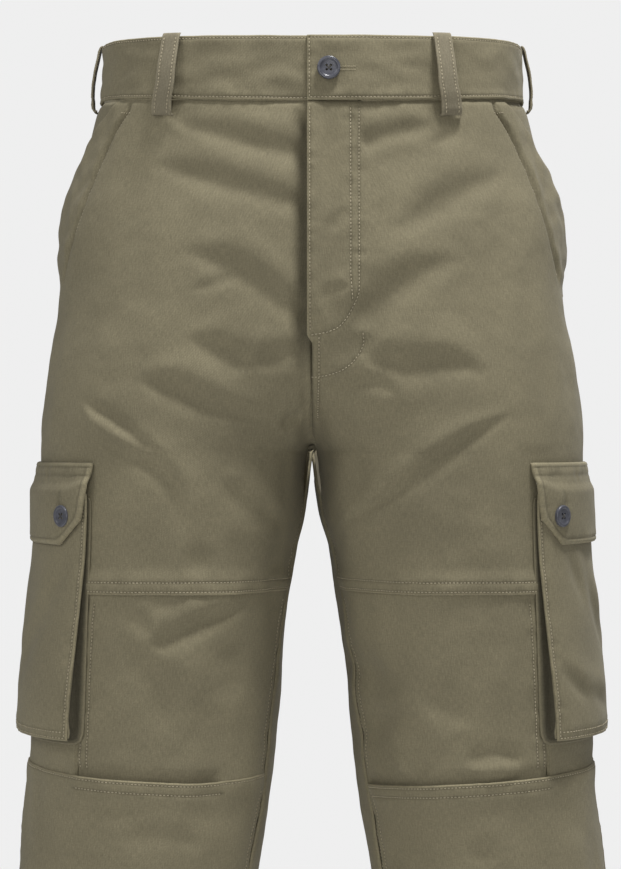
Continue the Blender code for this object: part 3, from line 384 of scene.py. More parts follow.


# %% [markdown]
# ## Folds
#
# Worn cloth hangs from the waist and is held at the fly, the crotch and the pockets, so its
# folds run as soft diagonal troughs between those places, often with a crest along one side.
# They are given as lines seen from the front or the back: the large ones are those
# of the solids, and narrower creases lie between them. Pressing them into the same form
# keeps every layer that laps another in step with it.

# %% Where the folds run, in metres from the middle
Fold = namedtuple("Fold", "side places width depth ridge fade_in fade_out")
FRONT_FOLDS = [
    Fold(-1, [(0.103, -0.034), (0.079, -0.042), (0.060, -0.047), (0.031, -0.055), (0.002, -0.062)],
         0.0070, 0.0030, 0.45, 0.5, 0.0),
    Fold(-1, [(0.112, -0.025), (0.102, -0.035), (0.089, -0.048)], 0.0040, -0.0012, 0.0, 0.4, 0.4),
    Fold(-1, [(0.119, -0.064), (0.099, -0.069), (0.083, -0.074), (0.049, -0.084), (0.002, -0.098)],
         0.0075, 0.0030, 0.45, 0.4, 0.0),
    Fold(-1, [(0.098, -0.127), (0.073, -0.133), (0.049, -0.142), (0.026, -0.161), (0.002, -0.175)],
         0.0080, 0.0034, 0.50, 0.4, 0.0),
    Fold(-1, [(0.089, -0.157), (0.069, -0.152), (0.050, -0.143)], 0.0035, 0.0011, 0.4, 0.5, 0.3),
    Fold(-1, [(0.092, -0.188), (0.073, -0.195), (0.053, -0.203), (0.041, -0.212)],
         0.0075, 0.0034, 0.5, 0.5, 0.2),
    Fold(-1, [(0.046, -0.213), (0.035, -0.206), (0.024, -0.202), (0.002, -0.199)],
         0.0060, 0.0028, 0.5, 0.4, 0.0),
    Fold(-1, [(0.125, -0.221), (0.108, -0.220), (0.090, -0.229), (0.073, -0.237), (0.021, -0.249)],
         0.0075, 0.0050, 0.5, 0.25, 0.6),
    Fold(-1, [(0.025, -0.251), (0.016, -0.247), (0.004, -0.243)], 0.0060, 0.0032, 0.5, 0.4, 0.2),
    Fold(-1, [(0.164, -0.232), (0.137, -0.247), (0.123, -0.259), (0.109, -0.269)],
         0.0042, 0.0030, -0.7, 0.3, 0.15),
    Fold(-1, [(0.151, -0.259), (0.122, -0.273), (0.105, -0.282), (0.095, -0.298), (0.090, -0.339)],
         0.0060, 0.0034, 0.5, 0.3, 0.5),
    Fold(-1, [(0.180, -0.282), (0.161, -0.269), (0.155, -0.254)], 0.0045, 0.0014, 0.4, 0.4, 0.4),
    Fold(-1, [(0.069, -0.287), (0.056, -0.297), (0.045, -0.308), (0.019, -0.323)],
         0.0075, 0.0034, 0.3, 0.3, 0.4),
    Fold(-1, [(0.093, -0.353), (0.079, -0.346), (0.064, -0.342)], 0.0085, 0.0020, 0.3, 0.4, 0.4),
    Fold(-1, [(0.115, -0.407), (0.103, -0.402), (0.076, -0.389), (0.057, -0.383), (0.039, -0.377)],
         0.0060, 0.0044, 0.6, 0.12, 0.5),
    Fold(-1, [(0.144, -0.393), (0.123, -0.414), (0.107, -0.437), (0.099, -0.460), (0.092, -0.480)],
         0.0100, 0.0034, 0.6, 0.4, 0.4),
    Fold(-1, [(0.135, -0.373), (0.121, -0.389), (0.113, -0.401)], 0.0060, 0.0018, 0.6, 0.5, 0.3),
    Fold(-1, [(0.069, -0.402), (0.060, -0.423), (0.057, -0.455)], 0.0120, 0.0024, 0.0, 0.4, 0.4),
    Fold(-1, [(0.152, -0.529), (0.139, -0.522), (0.122, -0.520), (0.104, -0.520)],
         0.0060, 0.0018, 0.4, 0.3, 0.5),
    Fold(-1, [(0.147, -0.546), (0.118, -0.539), (0.090, -0.543), (0.077, -0.553)],
         0.0060, 0.0018, 0.4, 0.4, 0.3),
    Fold(-1, [(0.160, -0.590), (0.117, -0.611), (0.070, -0.620)], 0.0180, 0.0028, 0.3, 0.4, 0.4),
    Fold(-1, [(0.195, -0.700), (0.150, -0.728), (0.100, -0.745)], 0.0220, 0.0032, 0.3, 0.4, 0.4),
    Fold(-1, [(0.200, -0.900), (0.158, -0.912), (0.120, -0.935)], 0.0240, 0.0030, 0.3, 0.4, 0.4),
    Fold(1, [(0.032, -0.053), (0.055, -0.046), (0.076, -0.041), (0.092, -0.037)],
         0.0065, 0.0030, 0.45, 0.1, 0.5),
    Fold(1, [(0.042, -0.069), (0.062, -0.063), (0.079, -0.057)], 0.0080, 0.0012, 0.4, 0.4, 0.4),
    Fold(1, [(0.082, -0.054), (0.094, -0.048), (0.109, -0.035)], 0.0045, 0.0017, 0.4, 0.4, 0.4),
    Fold(1, [(0.051, -0.119), (0.086, -0.099), (0.103, -0.087), (0.126, -0.077), (0.145, -0.066)],
         0.0095, 0.0034, 0.5, 0.4, 0.5),
    Fold(1, [(0.025, -0.184), (0.040, -0.170), (0.055, -0.158), (0.077, -0.143), (0.110, -0.131)],
         0.0100, 0.0040, 0.5, 0.2, 0.5),
    Fold(1, [(0.035, -0.205), (0.051, -0.208), (0.068, -0.209), (0.099, -0.207), (0.128, -0.216)],
         0.0080, 0.0042, 0.5, 0.2, 0.4),
    Fold(1, [(0.004, -0.228), (0.016, -0.222), (0.028, -0.219), (0.050, -0.221), (0.060, -0.231)],
         0.0048, 0.0028, 0.5, 0.15, 0.2),
    Fold(1, [(0.017, -0.327), (0.041, -0.308), (0.079, -0.282), (0.119, -0.254), (0.146, -0.240)],
         0.0052, 0.0038, 0.6, 0.5, 0.3),
    Fold(1, [(0.024, -0.271), (0.034, -0.282), (0.042, -0.296)], 0.0090, 0.0022, 0.0, 0.4, 0.4),
    Fold(1, [(0.027, -0.261), (0.055, -0.247), (0.090, -0.239)], 0.0085, 0.0016, 0.4, 0.4, 0.5),
    Fold(1, [(0.024, -0.425), (0.045, -0.431), (0.064, -0.438), (0.083, -0.442)],
         0.0100, 0.0030, -0.3, 0.2, 0.4),
    Fold(1, [(0.071, -0.431), (0.090, -0.446), (0.106, -0.455), (0.116, -0.464)],
         0.0090, 0.0030, -0.4, 0.4, 0.3),
    Fold(1, [(0.025, -0.487), (0.043, -0.464), (0.064, -0.457), (0.090, -0.460)],
         0.0110, 0.0024, 0.0, 0.4, 0.4),
    Fold(1, [(0.105, -0.492), (0.116, -0.485), (0.127, -0.482), (0.141, -0.483), (0.155, -0.493)],
         0.0060, 0.0036, -0.7, 0.3, 0.3),
    Fold(1, [(0.060, -0.498), (0.063, -0.492), (0.067, -0.486)], 0.0075, -0.0030, 0.0, 0.3, 0.3),
    Fold(1, [(0.071, -0.503), (0.077, -0.495), (0.077, -0.486)], 0.0055, 0.0024, 0.0, 0.3, 0.3),
    Fold(1, [(0.106, -0.550), (0.122, -0.553), (0.134, -0.559)], 0.0060, 0.0020, 0.4, 0.4, 0.4),
    Fold(1, [(0.166, -0.517), (0.185, -0.534), (0.199, -0.551)], 0.0090, 0.0016, 0.4, 0.4, 0.4),
    Fold(1, [(0.080, -0.590), (0.112, -0.598), (0.165, -0.625)], 0.0180, 0.0028, 0.3, 0.4, 0.4),
    Fold(1, [(0.090, -0.730), (0.138, -0.704), (0.190, -0.690)], 0.0220, 0.0032, 0.3, 0.4, 0.4),
    Fold(1, [(0.120, -0.920), (0.158, -0.897), (0.200, -0.885)], 0.0240, 0.0030, 0.3, 0.4, 0.4),
    Fold(1, [(0.016, -0.026), (0.013, -0.051), (0.011, -0.082), (0.003, -0.100)],
         0.0042, 0.0014, 0.0, 0.3, 0.3),
    Fold(1, [(0.010, -0.115), (0.017, -0.108), (0.027, -0.098)], 0.0040, 0.0010, 0.4, 0.3, 0.3),
    Fold(1, [(0.000, -0.161), (0.013, -0.156), (0.027, -0.153)], 0.0032, 0.0013, 0.6, 0.2, 0.2),
    # the knees' inner halves hang back
    Fold(-1, [(-0.064, -0.385), (-0.052, -0.440), (-0.048, -0.500)], 0.0190, 0.0058, 0.3, 0.4, 0.4),
    Fold(1, [(0.036, -0.385), (0.041, -0.440), (0.046, -0.500)], 0.0170, 0.0052, 0.3, 0.4, 0.4),
]
BACK_FOLDS = [
    Fold(0, [(0.155, -0.165), (0.100, -0.213), (0.035, -0.245)], 0.0150, 0.0052, 0.4, 0.4, 0.3),
    Fold(0, [(0.145, -0.250), (0.094, -0.285), (0.035, -0.305)], 0.0130, 0.0062, 0.5, 0.4, 0.3),
    Fold(0, [(0.065, -0.085), (0.043, -0.121), (0.012, -0.150)], 0.0110, 0.0032, 0.3, 0.4, 0.3),
    Fold(0, [(0.165, -0.530), (0.114, -0.550), (0.060, -0.555)], 0.0160, 0.0060, 0.4, 0.3, 0.4),
    Fold(0, [(0.175, -0.600), (0.121, -0.605), (0.070, -0.625)], 0.0170, 0.0054, 0.4, 0.4, 0.3),
    Fold(0, [(0.195, -0.800), (0.155, -0.825), (0.110, -0.840)], 0.0230, 0.0042, 0.3, 0.4, 0.4),
]
FOLD_SAMPLES = 13               # points along each fold's softened line
FOLD_SCALE = 0.88               # these scale the depths and widths of the tables
WIDTH_SCALE = 1.2


# %% Lines on the form, and distances to them
def depth_at(face, x, z):
    """Y of the skin seen from the front or the back at x, z of the left half."""
    outer, centre, inner, power = outer_at(z), centre_at(z), inner_at(z), power_at(z)
    share = np.abs(x - centre) / np.where(x >= centre, outer - centre, centre - inner)
    hollow = (1 - np.clip(share, 0, 1) ** power) ** (1 / power)
    return -front_at(z) * hollow if face == "front" else back_at(z) * hollow


def fold_line(fold, face):
    """Points of a fold's bottom on the left half's skin, along a softened line."""
    way = np.array(fold.places)
    run = run_along(way)
    at = np.linspace(0, run[-1], FOLD_SAMPLES)
    x, z = np.interp(at, run, way[:, 0]), np.interp(at, run, way[:, 1])
    for _ in range(2):
        x[1:-1] = (x[:-2] + 2 * x[1:-1] + x[2:]) / 4
        z[1:-1] = (z[:-2] + 2 * z[1:-1] + z[2:]) / 4
    return np.stack([x, depth_at(face, x, z), z], axis=-1)


def nearest_on(line, points):
    """Distance to a line, 1 above it or -1 below, and the length of line up to that place."""
    gaps = np.full(len(points), 1.0)
    above = np.ones(len(points))
    runs = np.zeros(len(points))
    run = 0.0
    for start, end in zip(line[:-1], line[1:]):
        step = end - start
        length = math.sqrt(step @ step) + 1e-9
        t = np.clip((points - start) @ step / length ** 2, 0, 1)
        offset = points - start - t[:, None] * step
        gap = np.linalg.norm(offset, axis=1)
        closer = gap < gaps
        cross = (step[0] * offset[:, 2] - step[2] * offset[:, 0]) * math.copysign(1, step[0])
        gaps = np.where(closer, gap, gaps)
        runs = np.where(closer, run + t * length, runs)
        above = np.where(closer, np.sign(cross), above)
        run += length
    return gaps, above, runs, run


def within(points, line, reach):
    """Which points lie inside the line's box grown by reach."""
    low, high = line.min(axis=0) - reach, line.max(axis=0) + reach
    return np.all((points >= low) & (points <= high), axis=-1)


def press_fold(points, fold, face):
    """Outward move that one fold gives the points: a soft trough with a crest at one side."""
    line = fold_line(fold, face)
    move = np.zeros(points.shape[:-1])
    near = within(points, line, 4 * fold.width)
    if not near.any():
        return move
    gaps, above, runs, length = nearest_on(line, points[near])
    fading = ramp(runs / length, 0.0, fold.fade_in)
    if fold.fade_out:
        fading = fading * ramp(1 - runs / length, 0.0, fold.fade_out)
    width = WIDTH_SCALE * fold.width * (0.4 + 0.6 * fading)
    trough = np.exp(-(gaps / width) ** 2)
    beside = above * gaps - math.copysign(1.7, fold.ridge) * width
    crest = abs(fold.ridge) * np.exp(-(beside / (1.3 * width)) ** 2)
    move[near] = fold.depth * fading * (crest - trough)
    return move


def wander(points, size, seed):
    """Smooth noise from -1 to 1 over points, with waves of about that size."""
    flat = points.reshape(-1, 3) / size + seed
    values = [noise.noise(Vector(place)) for place in flat]
    return np.array(values).reshape(points.shape[:-1])


def calm(angle, level):
    """1 where the cloth may fold, 0 at the waist and the pockets."""
    turn = np.degrees(angle)
    free = ramp(level, -0.024, -0.036)
    past_mouth = ramp(turn - mouth_degrees(level), 2.0, 16.0)
    beside_mouth = np.where((level > -0.156) & (turn > -4), past_mouth, 1.0)
    beside_pocket = np.maximum(turn - pocket_degrees(level), outseam_degrees(level) - turn - 52.0)
    across = ramp(beside_pocket, 1.0, 12.0)
    along = np.maximum(ramp(level, -0.272, -0.262), ramp(level, -0.486, -0.500))
    return free * beside_mouth * np.maximum(across, along)


def at_centre(side, level, points, move):
    """Keep the halves apart at the middle: there the right one may only sink."""
    away = np.where(level > -0.29, ramp(np.abs(points[..., 0]), 0.0035, 0.011), 1.0)
    if side > 0:
        return move * away
    sinks = np.where(level > FLY_CLOSED, 1.0, away)
    return np.minimum(move, 0) * sinks + np.maximum(move, 0) * away


def drift(side, angle, level):
    """The knees' inner sides lie a little to the wearer's left: outwards on the right leg."""
    inside = np.cos(angle) < 0
    return -side * LEG_DRIFT * ramp(level, -0.395, -0.450) * ramp(-np.cos(angle) * inside, 0.3, 0.9)


def folds_at(side, angles, levels, points):
    """Outward move from all the folds and the cloth's own unevenness."""
    move = np.zeros(levels.shape)
    for face, folds in (("front", FRONT_FOLDS), ("back", BACK_FOLDS)):
        here = (points[..., 1] < 0.004) if face == "front" else (points[..., 1] > -0.004)
        for fold in folds:
            if fold.side in (side, 0):
                move += np.where(here, press_fold(points, fold, face), 0.0)
    tall = points * np.array([1.0, 1.0, 0.55])      # waves longer up the leg than across it
    soft = 0.0017 * wander(tall, 0.050, 7.3 * side) + 0.0007 * wander(tall, 0.021, 5.7 * side)
    soft = soft * (1.0 + 0.8 * ramp(levels, -0.260, -0.330))        # looser below the hips
    soft = soft + 0.00035 * wander(points, 0.012, 3.1 * side)
    return at_centre(side, levels, points, (FOLD_SCALE * move + soft) * calm(angles, levels))


# %% [markdown]
# ## Sewing
#
# A row of topstitching is two things: thread that shows as short dashes, and the cloth that
# it pulls down and puckers. Each row is a line on the form. It first presses a shallow
# groove into the panel, and once the panel is made, one small bead of thread is laid on the
# cloth for each stitch. Six sides and three rings are enough for a bead under 1 mm thick.

# %% Rows of stitches
STITCH_PITCH = 0.0026           # from one stitch to the next
STITCH_LENGTH = 0.0019
STITCH_WIDE = 0.00038           # half width of the thread
STITCH_HIGH = 0.00032
GROOVE_DEEP, GROOVE_WIDE = 0.00055, 0.0009
PUCKER_HIGH, PUCKER_WIDE = 0.00050, 0.0050
PUCKER_STEP = 0.0045            # from one pucker to the next along a row
DROP = 0.012                    # a stitch is dropped onto the cloth from this far off
CHUNK = 250                     # stitches made at a time

Row = namedtuple("Row", "angles levels")


def even_line(points, pitch):
    """The same line with points at an even pitch."""
    run = run_along(points)
    count = max(2, round(run[-1] / pitch) + 1)
    at = np.linspace(0, run[-1], count)
    return np.stack([np.interp(at, run, points[:, i]) for i in range(3)], axis=1)


def row_line(row):
    return skin(np.asarray(row.angles, float), np.asarray(row.levels, float))


def sew_down(points, row, seed):
    """Outward move beside a sewn row, a groove with puckers along it, and a mask of painted shade in
    the groove.
    """
    line = even_line(row_line(row), 0.006)
    move = np.zeros(points.shape[:-1])
    sunk = np.zeros(points.shape[:-1])
    near = within(points, line, 3 * PUCKER_WIDE)
    if not near.any():
        return move, sunk
    gaps, _, runs, length = nearest_on(line, points[near])
    knots = np.random.default_rng(seed).uniform(-1, 1, int(length / PUCKER_STEP) + 3)
    ripple = np.interp(runs / PUCKER_STEP, np.arange(len(knots)), knots)
    beside = np.exp(-(gaps / PUCKER_WIDE) ** 2)
    # painted shade: the groove is also darkened through the sunk attribute
    sunk[near] = np.exp(-(gaps / GROOVE_WIDE) ** 2)
    move[near] = PUCKER_HIGH * ripple * beside - GROOVE_DEEP * sunk[near]
    return move, sunk


thread_mesh = {}                # one growing mesh of stitches for each area of the garment
stitch_count = {}


def lay_stitches(area, tree, centres, normals, pitch=STITCH_PITCH, size=1.0):
    """Drops a row of stitches along a line onto a cloth's surface."""
    spots = []
    steps = np.diff(centres, axis=0)
    middles = (centres[1:] + centres[:-1]) / 2
    lifts = (normals[1:] + normals[:-1]) / 2
    for middle, step, lift in zip(middles, steps, lifts):
        up = Vector(lift).normalized()
        start = Vector(middle) + up * DROP
        hit, facing, _, _ = tree.ray_cast(start, -up, DROP + 0.014)
        if hit is None:
            continue
        if facing.dot(up) < 0:
            facing = -facing
        ahead = Vector(step)
        ahead = (ahead - facing * ahead.dot(facing)).normalized()
        across = facing.cross(ahead)
        turn = Matrix((across, facing, ahead)).transposed().to_4x4()
        wide, high = STITCH_WIDE * size, STITCH_HIGH * size
        half = (STITCH_LENGTH / STITCH_PITCH) * Vector(step).length / 2
        shape = Matrix.Diagonal((wide, high, half, 1.0))
        spots.append(Matrix.Translation(hit + facing * high * 0.45) @ turn @ shape)
    whole = thread_mesh.setdefault(area, bmesh.new())
    for first in range(0, len(spots), CHUNK):
        part = bmesh.new()
        for spot in spots[first:first + CHUNK]:
            bmesh.ops.create_uvsphere(part, u_segments=6, v_segments=3, radius=1.0, matrix=spot)
        pour(part, whole)
    stitch_count[area] = stitch_count.get(area, 0) + len(spots)


def sew(area, cloth, side, row, pitch=STITCH_PITCH, size=1.0):
    """Sews one row onto a finished cloth, mirrored for the right half."""
    fine = even_line(np.stack([row.angles, row.levels, np.zeros(len(row.levels))], axis=1), 0.002)
    angles, levels = fine[:, 0], fine[:, 1]
    surface = skin(angles, levels)
    run = run_along(surface)
    at = np.linspace(0, run[-1], max(2, round(run[-1] / pitch) + 1))
    angles, levels = np.interp(at, run, angles), np.interp(at, run, levels)
    centres = mirrored(side, skin(angles, levels))
    normals = mirrored(side, outward(angles, levels))
    lay_stitches(area, cloth.tree, centres, normals, pitch, size)


def sew_all(area, cloth, side, rows):
    for row in rows:
        sew(area, cloth, side, row)


def mirrored(side, points):
    """Left-half points as they are, or reflected to the right half."""
    return points * np.array([side, 1.0, 1.0])


# %% [markdown]
# ## One sheet of cloth
#
# Every panel is a grid whose points are put on the form. The grid is made flat, so that its
# own coordinates say which row and column each corner is in. Solidify then gives the sheet
# its wall towards the inside, and stays live so that the mesh itself remains a clean grid.
# The UV map is measured in metres of cloth, so the weave has one scale on every piece.

# %% Grid to cloth
Cloth = namedtuple("Cloth", "piece tree flat area")


def even_places(length, pitch, fine_start=True, fine_end=True):
    """Places along a length: even steps, and finer ones beside a turned edge."""
    low = places_from_edge(fine=fine_start)
    high = places_from_edge(fine=fine_end)
    return places_between(length, low, high, count_between(length, low, high, pitch))


def rolled(distance, radius):
    """How far a folded edge turns inwards at a distance from it."""
    past = np.clip(radius - distance, 0.0, radius)
    return radius - np.sqrt(np.maximum(radius ** 2 - past ** 2, 0.0))


def pressed_seam(distance):
    """How far the cloth dips at a seam between two panels."""
    return 0.0011 * np.exp(-(distance / 0.0015) ** 2)


def cut_size(outer, flat_u, flat_v):
    """The size a sheet was cut to: its flat span, and what the form and the creases take up."""
    sizes = []
    for flat, across, axis in ((flat_u, flat_v, 1), (flat_v, flat_u, 0)):
        steps = np.linalg.norm(np.diff(outer, axis=axis), axis=2)
        aside = np.diff(across, axis=axis)
        runs = np.sqrt(np.maximum(steps ** 2 - aside ** 2, 0.0)).sum(axis=axis)
        spans = np.abs(np.diff(flat, axis=axis)).sum(axis=axis)
        wide = spans > 0.3 * spans.max()
        taken_up = np.quantile(runs[wide] / spans[wide], 0.95)
        sizes.append((flat.max() - flat.min()) * taken_up)
    return sizes


def make_cloth(name, outer, facing, flat_u, flat_v, wear, wall, sunk=None):
    """Makes the piece from a grid of outer points, and keeps a tree of its outer face."""
    rows, columns = outer.shape[0] - 1, outer.shape[1] - 1
    bm = bmesh.new()
    bmesh.ops.create_grid(bm, x_segments=columns, y_segments=rows, size=1.0)
    mesh = mesh_of(bm, name)
    place = np.empty(len(mesh.vertices) * 3)
    mesh.vertices.foreach_get("co", place)
    place = place.reshape(-1, 3)
    column = np.rint((place[:, 0] + 1) / 2 * columns).astype(int)
    row = np.rint((place[:, 1] + 1) / 2 * rows).astype(int)
    mesh.vertices.foreach_set("co", outer[row, column].ravel())
    corner = np.empty(len(mesh.loops), dtype=int)
    mesh.loops.foreach_get("vertex_index", corner)
    flat = np.stack([flat_u[row, column], flat_v[row, column]], axis=1)
    mesh.uv_layers.new(name="cloth").data.foreach_set("uv", flat[corner].ravel())
    worn = mesh.attributes.new("wear", "FLOAT", "POINT")
    worn.data.foreach_set("value", wear[row, column].astype(float))
    # sunk carries the painted shade of seams, stitch grooves and hollows
    low = mesh.attributes.new("sunk", "FLOAT", "POINT")
    if sunk is not None:
        low.data.foreach_set("value", sunk[row, column].astype(float))
    mesh.update()
    bm = bmesh.new()
    bm.from_mesh(mesh)
    bm.faces.ensure_lookup_table()
    bm.normal_update()
    middle = bm.faces[len(bm.faces) // 2]
    toward = facing[rows // 2, columns // 2]
    if middle.normal.dot(Vector(toward)) < 0:
        bmesh.ops.reverse_faces(bm, faces=bm.faces)
    bm.to_mesh(mesh)
    tree = BVHTree.FromBMesh(bm)
    area = sum(face.calc_area() for face in bm.faces)
    bm.free()
    mesh.shade_smooth()
    piece = add_object(name, mesh)
    thick = piece.modifiers.new("wall", "SOLIDIFY")
    thick.thickness = wall
    thick.offset = -1.0
    thick.use_even_offset = False
    return Cloth(piece, tree, cut_size(outer, flat_u, flat_v), area)


Grid = namedtuple("Grid", "levels low high count")


def panel(name, side, grid, start, end, trims, shape, rows=(), wall=CLOTH, before=None):
    """One cloth panel on the form. shape gives its own outward move and its worn edges,
    as numbers above 0, or painted shade in a hollow, as numbers below 0."""
    levels = grid.levels
    angles, along, length = shared_angles(
        levels, grid.low, grid.high, grid.count, start, end, trims
    )
    points = skin(angles, levels)
    normals = outward(angles, levels)
    extra, wear = shape(angles, levels, points, along, length - along)
    move = folds_at(side, angles, levels, points) + drift(side, angles, levels) + extra
    # painted shade along the seams, where the panel's edges dip
    seam_shade = np.maximum(edge_wear_and_shade(along, 0.0012), edge_wear_and_shade(length - along, 0.0012))
    wear = wear - np.where(wear < 0.2, 1.2 * seam_shade, 0.0)
    # numbers below 0 become the sunk attribute, which the twill darkens as painted shade; the stitch
    # grooves add their painted shade below
    sunk, wear = np.maximum(-wear, 0.0), np.maximum(wear, 0.0)
    for number, row in enumerate(rows):
        pressed, low = sew_down(points, row, 100 + number)
        move = move + pressed
        sunk = np.maximum(sunk, low)
    outer = mirrored(side, points + move[..., None] * normals)
    flat = along if before is None else along + before(levels)
    cloth = make_cloth(name, outer, mirrored(side, normals), flat, levels, wear, wall, sunk)
    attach(cloth.piece, "root")
    print(name, "faces:", len(cloth.piece.data.polygons))
    return cloth


def grid_of(levels, length, pitch, low_rows=(), high_rows=(), reach=(0.0, 0.0)):
    """The panel's grid: its levels, its places from both side edges, and how many between."""
    low = places_from_edge(low_rows, reach[0])
    high = places_from_edge(high_rows, reach[1])
    count = count_between(length, low, high, pitch)
    levels = np.asarray(levels, float)
    if levels.ndim == 1:
        levels = rows_of(levels, count + len(low) + len(high))
    return Grid(levels, low, high, count)


def level_steps(depth, pitch, top_rows=(), bottom_rows=()):
    """Distances down a panel, close together at both edges and beside stitches."""
    low, high = places_from_edge(top_rows), places_from_edge(bottom_rows)
    return places_between(depth, low, high, count_between(depth, low, high, pitch))


def even_shares(length, pitch, low_rows=(), high_rows=()):
    """The same as shares of the length."""
    return level_steps(length, pitch, low_rows, high_rows) / length


def rows_of(levels, columns):
    """The same levels in every column."""
    return np.repeat(np.asarray(levels, float)[:, None], columns, axis=1)


def side_name(side):
    return "left" if side > 0 else "right"


def edge_wear_and_shade(distance, wide=0.0016):
    """Rubbed cloth along an edge, from 0 to 1; also used for painted shade along seams and the hip
    pocket's line.
    """
    return np.exp(-(distance / wide) ** 2)


def band_dip(down):
    """How far a panel dips where it is sewn under the waistband."""
    return 0.0012 * np.exp(-(down / 0.0022) ** 2)


def slipped_under(ahead):
    """How far the right half's edge sinks to pass under the left one's at a centre seam."""
    return 0.0016 * ramp(ahead, 0.0034, 0.0010)


# %% [markdown]
# ## The front panels
#
# The upper front runs from the waistband to a folded hem above the knee. It laps over the
# other half at the fly, and its side edge above the pocket's end is the folded mouth of the
# hip pocket. Below the hem a knee panel and a narrow side panel fill the gap down to the
# lower front, whose folded top edge laps over them. Drawing each panel with the same
# function keeps the layers a constant distance apart.

# %% Levels and shares of the front panels
SEAM_ROWS = (0.0022, 0.0082)    # from a seam to its two rows of stitches
HEM_ROWS = (0.0022, 0.0088)
UPPER_TOP = BAND_BOTTOM - GAP
GAPE = 0.0036                   # how far the hip pocket's mouth stands open
FLY_FALL = 0.0050               # how far the right half falls back beside the fly
CROTCH_HOLLOW = 0.0032          # depth of the hollow over the crotch
HIP_SPAN = 0.17                 # metres of cloth for one radian at the hip pocket


def knee_seam(share, side):
    """Level of the lower front's folded edge, from the outseam to the inseam."""
    uneven = 0.005 * ramp(share, 0.70, 1.0) if side < 0 else -0.0035 * share ** 2
    return KNEE_SEAM - KNEE_SEAM_DROP * share + uneven


def knee_fold(share, side):
    """1 where that edge is a deep open fold, 0 where it is a plain seam."""
    start = ramp(share, 0.335, 0.360)
    return start * (ramp(share, 0.80, 0.76) if side < 0 else ramp(share, 0.99, 0.96))


def front_start(level):
    mouth = np.radians(mouth_degrees(level))
    return np.where(level > POCKET_END, mouth, outseam(level))


def fly_reach(side, level):
    """X where an upper front ends: past the centre at the fly, then at the centre seam."""
    edge = -FLY_EDGE if side > 0 else -FLY_UNDER
    seam = HALF_GAP if side > 0 else -CENTRE_UNDER
    return seam + (edge - seam) * ramp(level, FLY_CLOSED, FLY_END)


def mouth_run(levels):
    """Length of cloth between the side seam and the pocket's mouth, where the grain starts."""
    fine = np.arange(-0.380, -0.015, 0.002)
    runs = row_runs(fine, outseam(fine), front_start(fine))[1][:, -1]
    return np.interp(levels, fine, runs)


def seam_row(start, end, distance, levels, from_start=True):
    """A row of stitches at a distance of cloth from one side of a panel."""
    levels = np.asarray(levels, float)
    begin = start(levels)
    angles, runs = row_runs(levels, begin, end(levels))
    found = []
    for angle, run in zip(angles, runs):
        place = distance if from_start else run[-1] - distance
        found.append(np.interp(place, run, angle))
    return Row(np.array(found), levels)


def level_row(start, end, level, distances=(0.0, 0.0)):
    """A row of stitches round the form at one level, or along a level that changes by share."""
    count = 60
    shares = np.linspace(0, 1, count)
    levels = np.array([level(share) for share in shares])
    found = []
    for one, share in zip(levels, shares):
        at = np.array([one])
        angles, runs = row_runs(at, start(at), end(at))
        length = runs[0, -1] - distances[0] - distances[1]
        found.append(np.interp(distances[0] + share * length, runs[0], angles[0]))
    return Row(np.array(found), levels)


def seen_row(way):
    """A row of stitches given by points as they are seen from the front."""
    way = np.array(way, float)
    run = run_along(way)
    at = np.linspace(0, run[-1], max(12, int(run[-1] / 0.003)))
    x, z = np.interp(at, run, way[:, 0]), np.interp(at, run, way[:, 1])
    angles, levels = on_front(x, z)
    return Row(angles, levels)


# %% [markdown]
# The topstitching of the fly is a J: two rows run down from the waistband and curve in to
# the centre seam. They are given as they are seen from the front, because that is how a
# sewer chalks them. Only the left half carries them, as it lies on top.

# %% Stitch rows of the upper front
FLY_OUTER = [
    (0.0330, -0.0270), (0.0330, -0.0800), (0.0330, -0.1446), (0.0330, -0.1583),
    (0.0291, -0.1667), (0.0245, -0.1751), (0.0186, -0.1821), (0.0098, -0.1854),
    (-0.0010, -0.1870),
]
FLY_INNER = [(0.0271, -0.0270), (0.0271, -0.0900), (0.0271, -0.1446), (0.0285, -0.1625)]
FLY_SECOND = [
    (0.0355, -0.1854), (0.0365, -0.1920), (0.0339, -0.1990), (0.0291, -0.2058),
    (0.0228, -0.2109), (0.0151, -0.2140), (0.0058, -0.2160), (-0.0010, -0.2168),
]
FLY_EDGE_ROW = [(-0.0017, -0.0270), (-0.0017, -0.1000), (-0.0014, -0.1840)]
SEAM_ROW = [(0.0049, -0.1880), (0.0049, -0.2165), (0.0030, -0.2480)]
HIP_LINE = [
    (0.132, -0.0255), (0.1405, -0.037), (0.147, -0.049), (0.155, -0.0665), (0.163, -0.0865),
    (0.1705, -0.109), (0.1765, -0.131), (0.179, -0.1415),
]
hip_line = seen_row(HIP_LINE)
HIP_TACK = seen_row([(0.1300, -0.0270), (0.1365, -0.0262)])


def beside_mouth(side, angles, levels, points):
    """The hem along the hip pocket's mouth: a sewn valley and a puckered roll outside it, and a mask
    of painted shade along the valley.
    """
    order = np.argsort(hip_line.levels)
    line = np.interp(levels, hip_line.levels[order], hip_line.angles[order])
    past = (angles - line) * HIP_SPAN
    here = ramp(levels, -0.150, -0.138) * ramp(levels, -0.022, -0.028)
    roll = ramp(past, -0.001, -0.009) * (0.0012 + 0.0015 * wander(points, 0.014, 5.0 + side))
    return here * (roll - 0.0023 * np.exp(-(past / 0.0024) ** 2)), here * edge_wear_and_shade(past, 0.0013)


def inseam_rows(top, bottom):
    """Two rows beside the inseam, on the front."""
    levels = np.linspace(top, bottom, max(8, int((top - bottom) / 0.008)))
    return [seam_row(outseam, inseam, distance, levels, False) for distance in SEAM_ROWS]


def thigh_rows():
    """Two rows over the folded hem of the upper front."""
    return [
        level_row(vertical_seam, inseam, lambda share: THIGH_SEAM + above, (0.002, 0.001))
        for above in HEM_ROWS
    ]


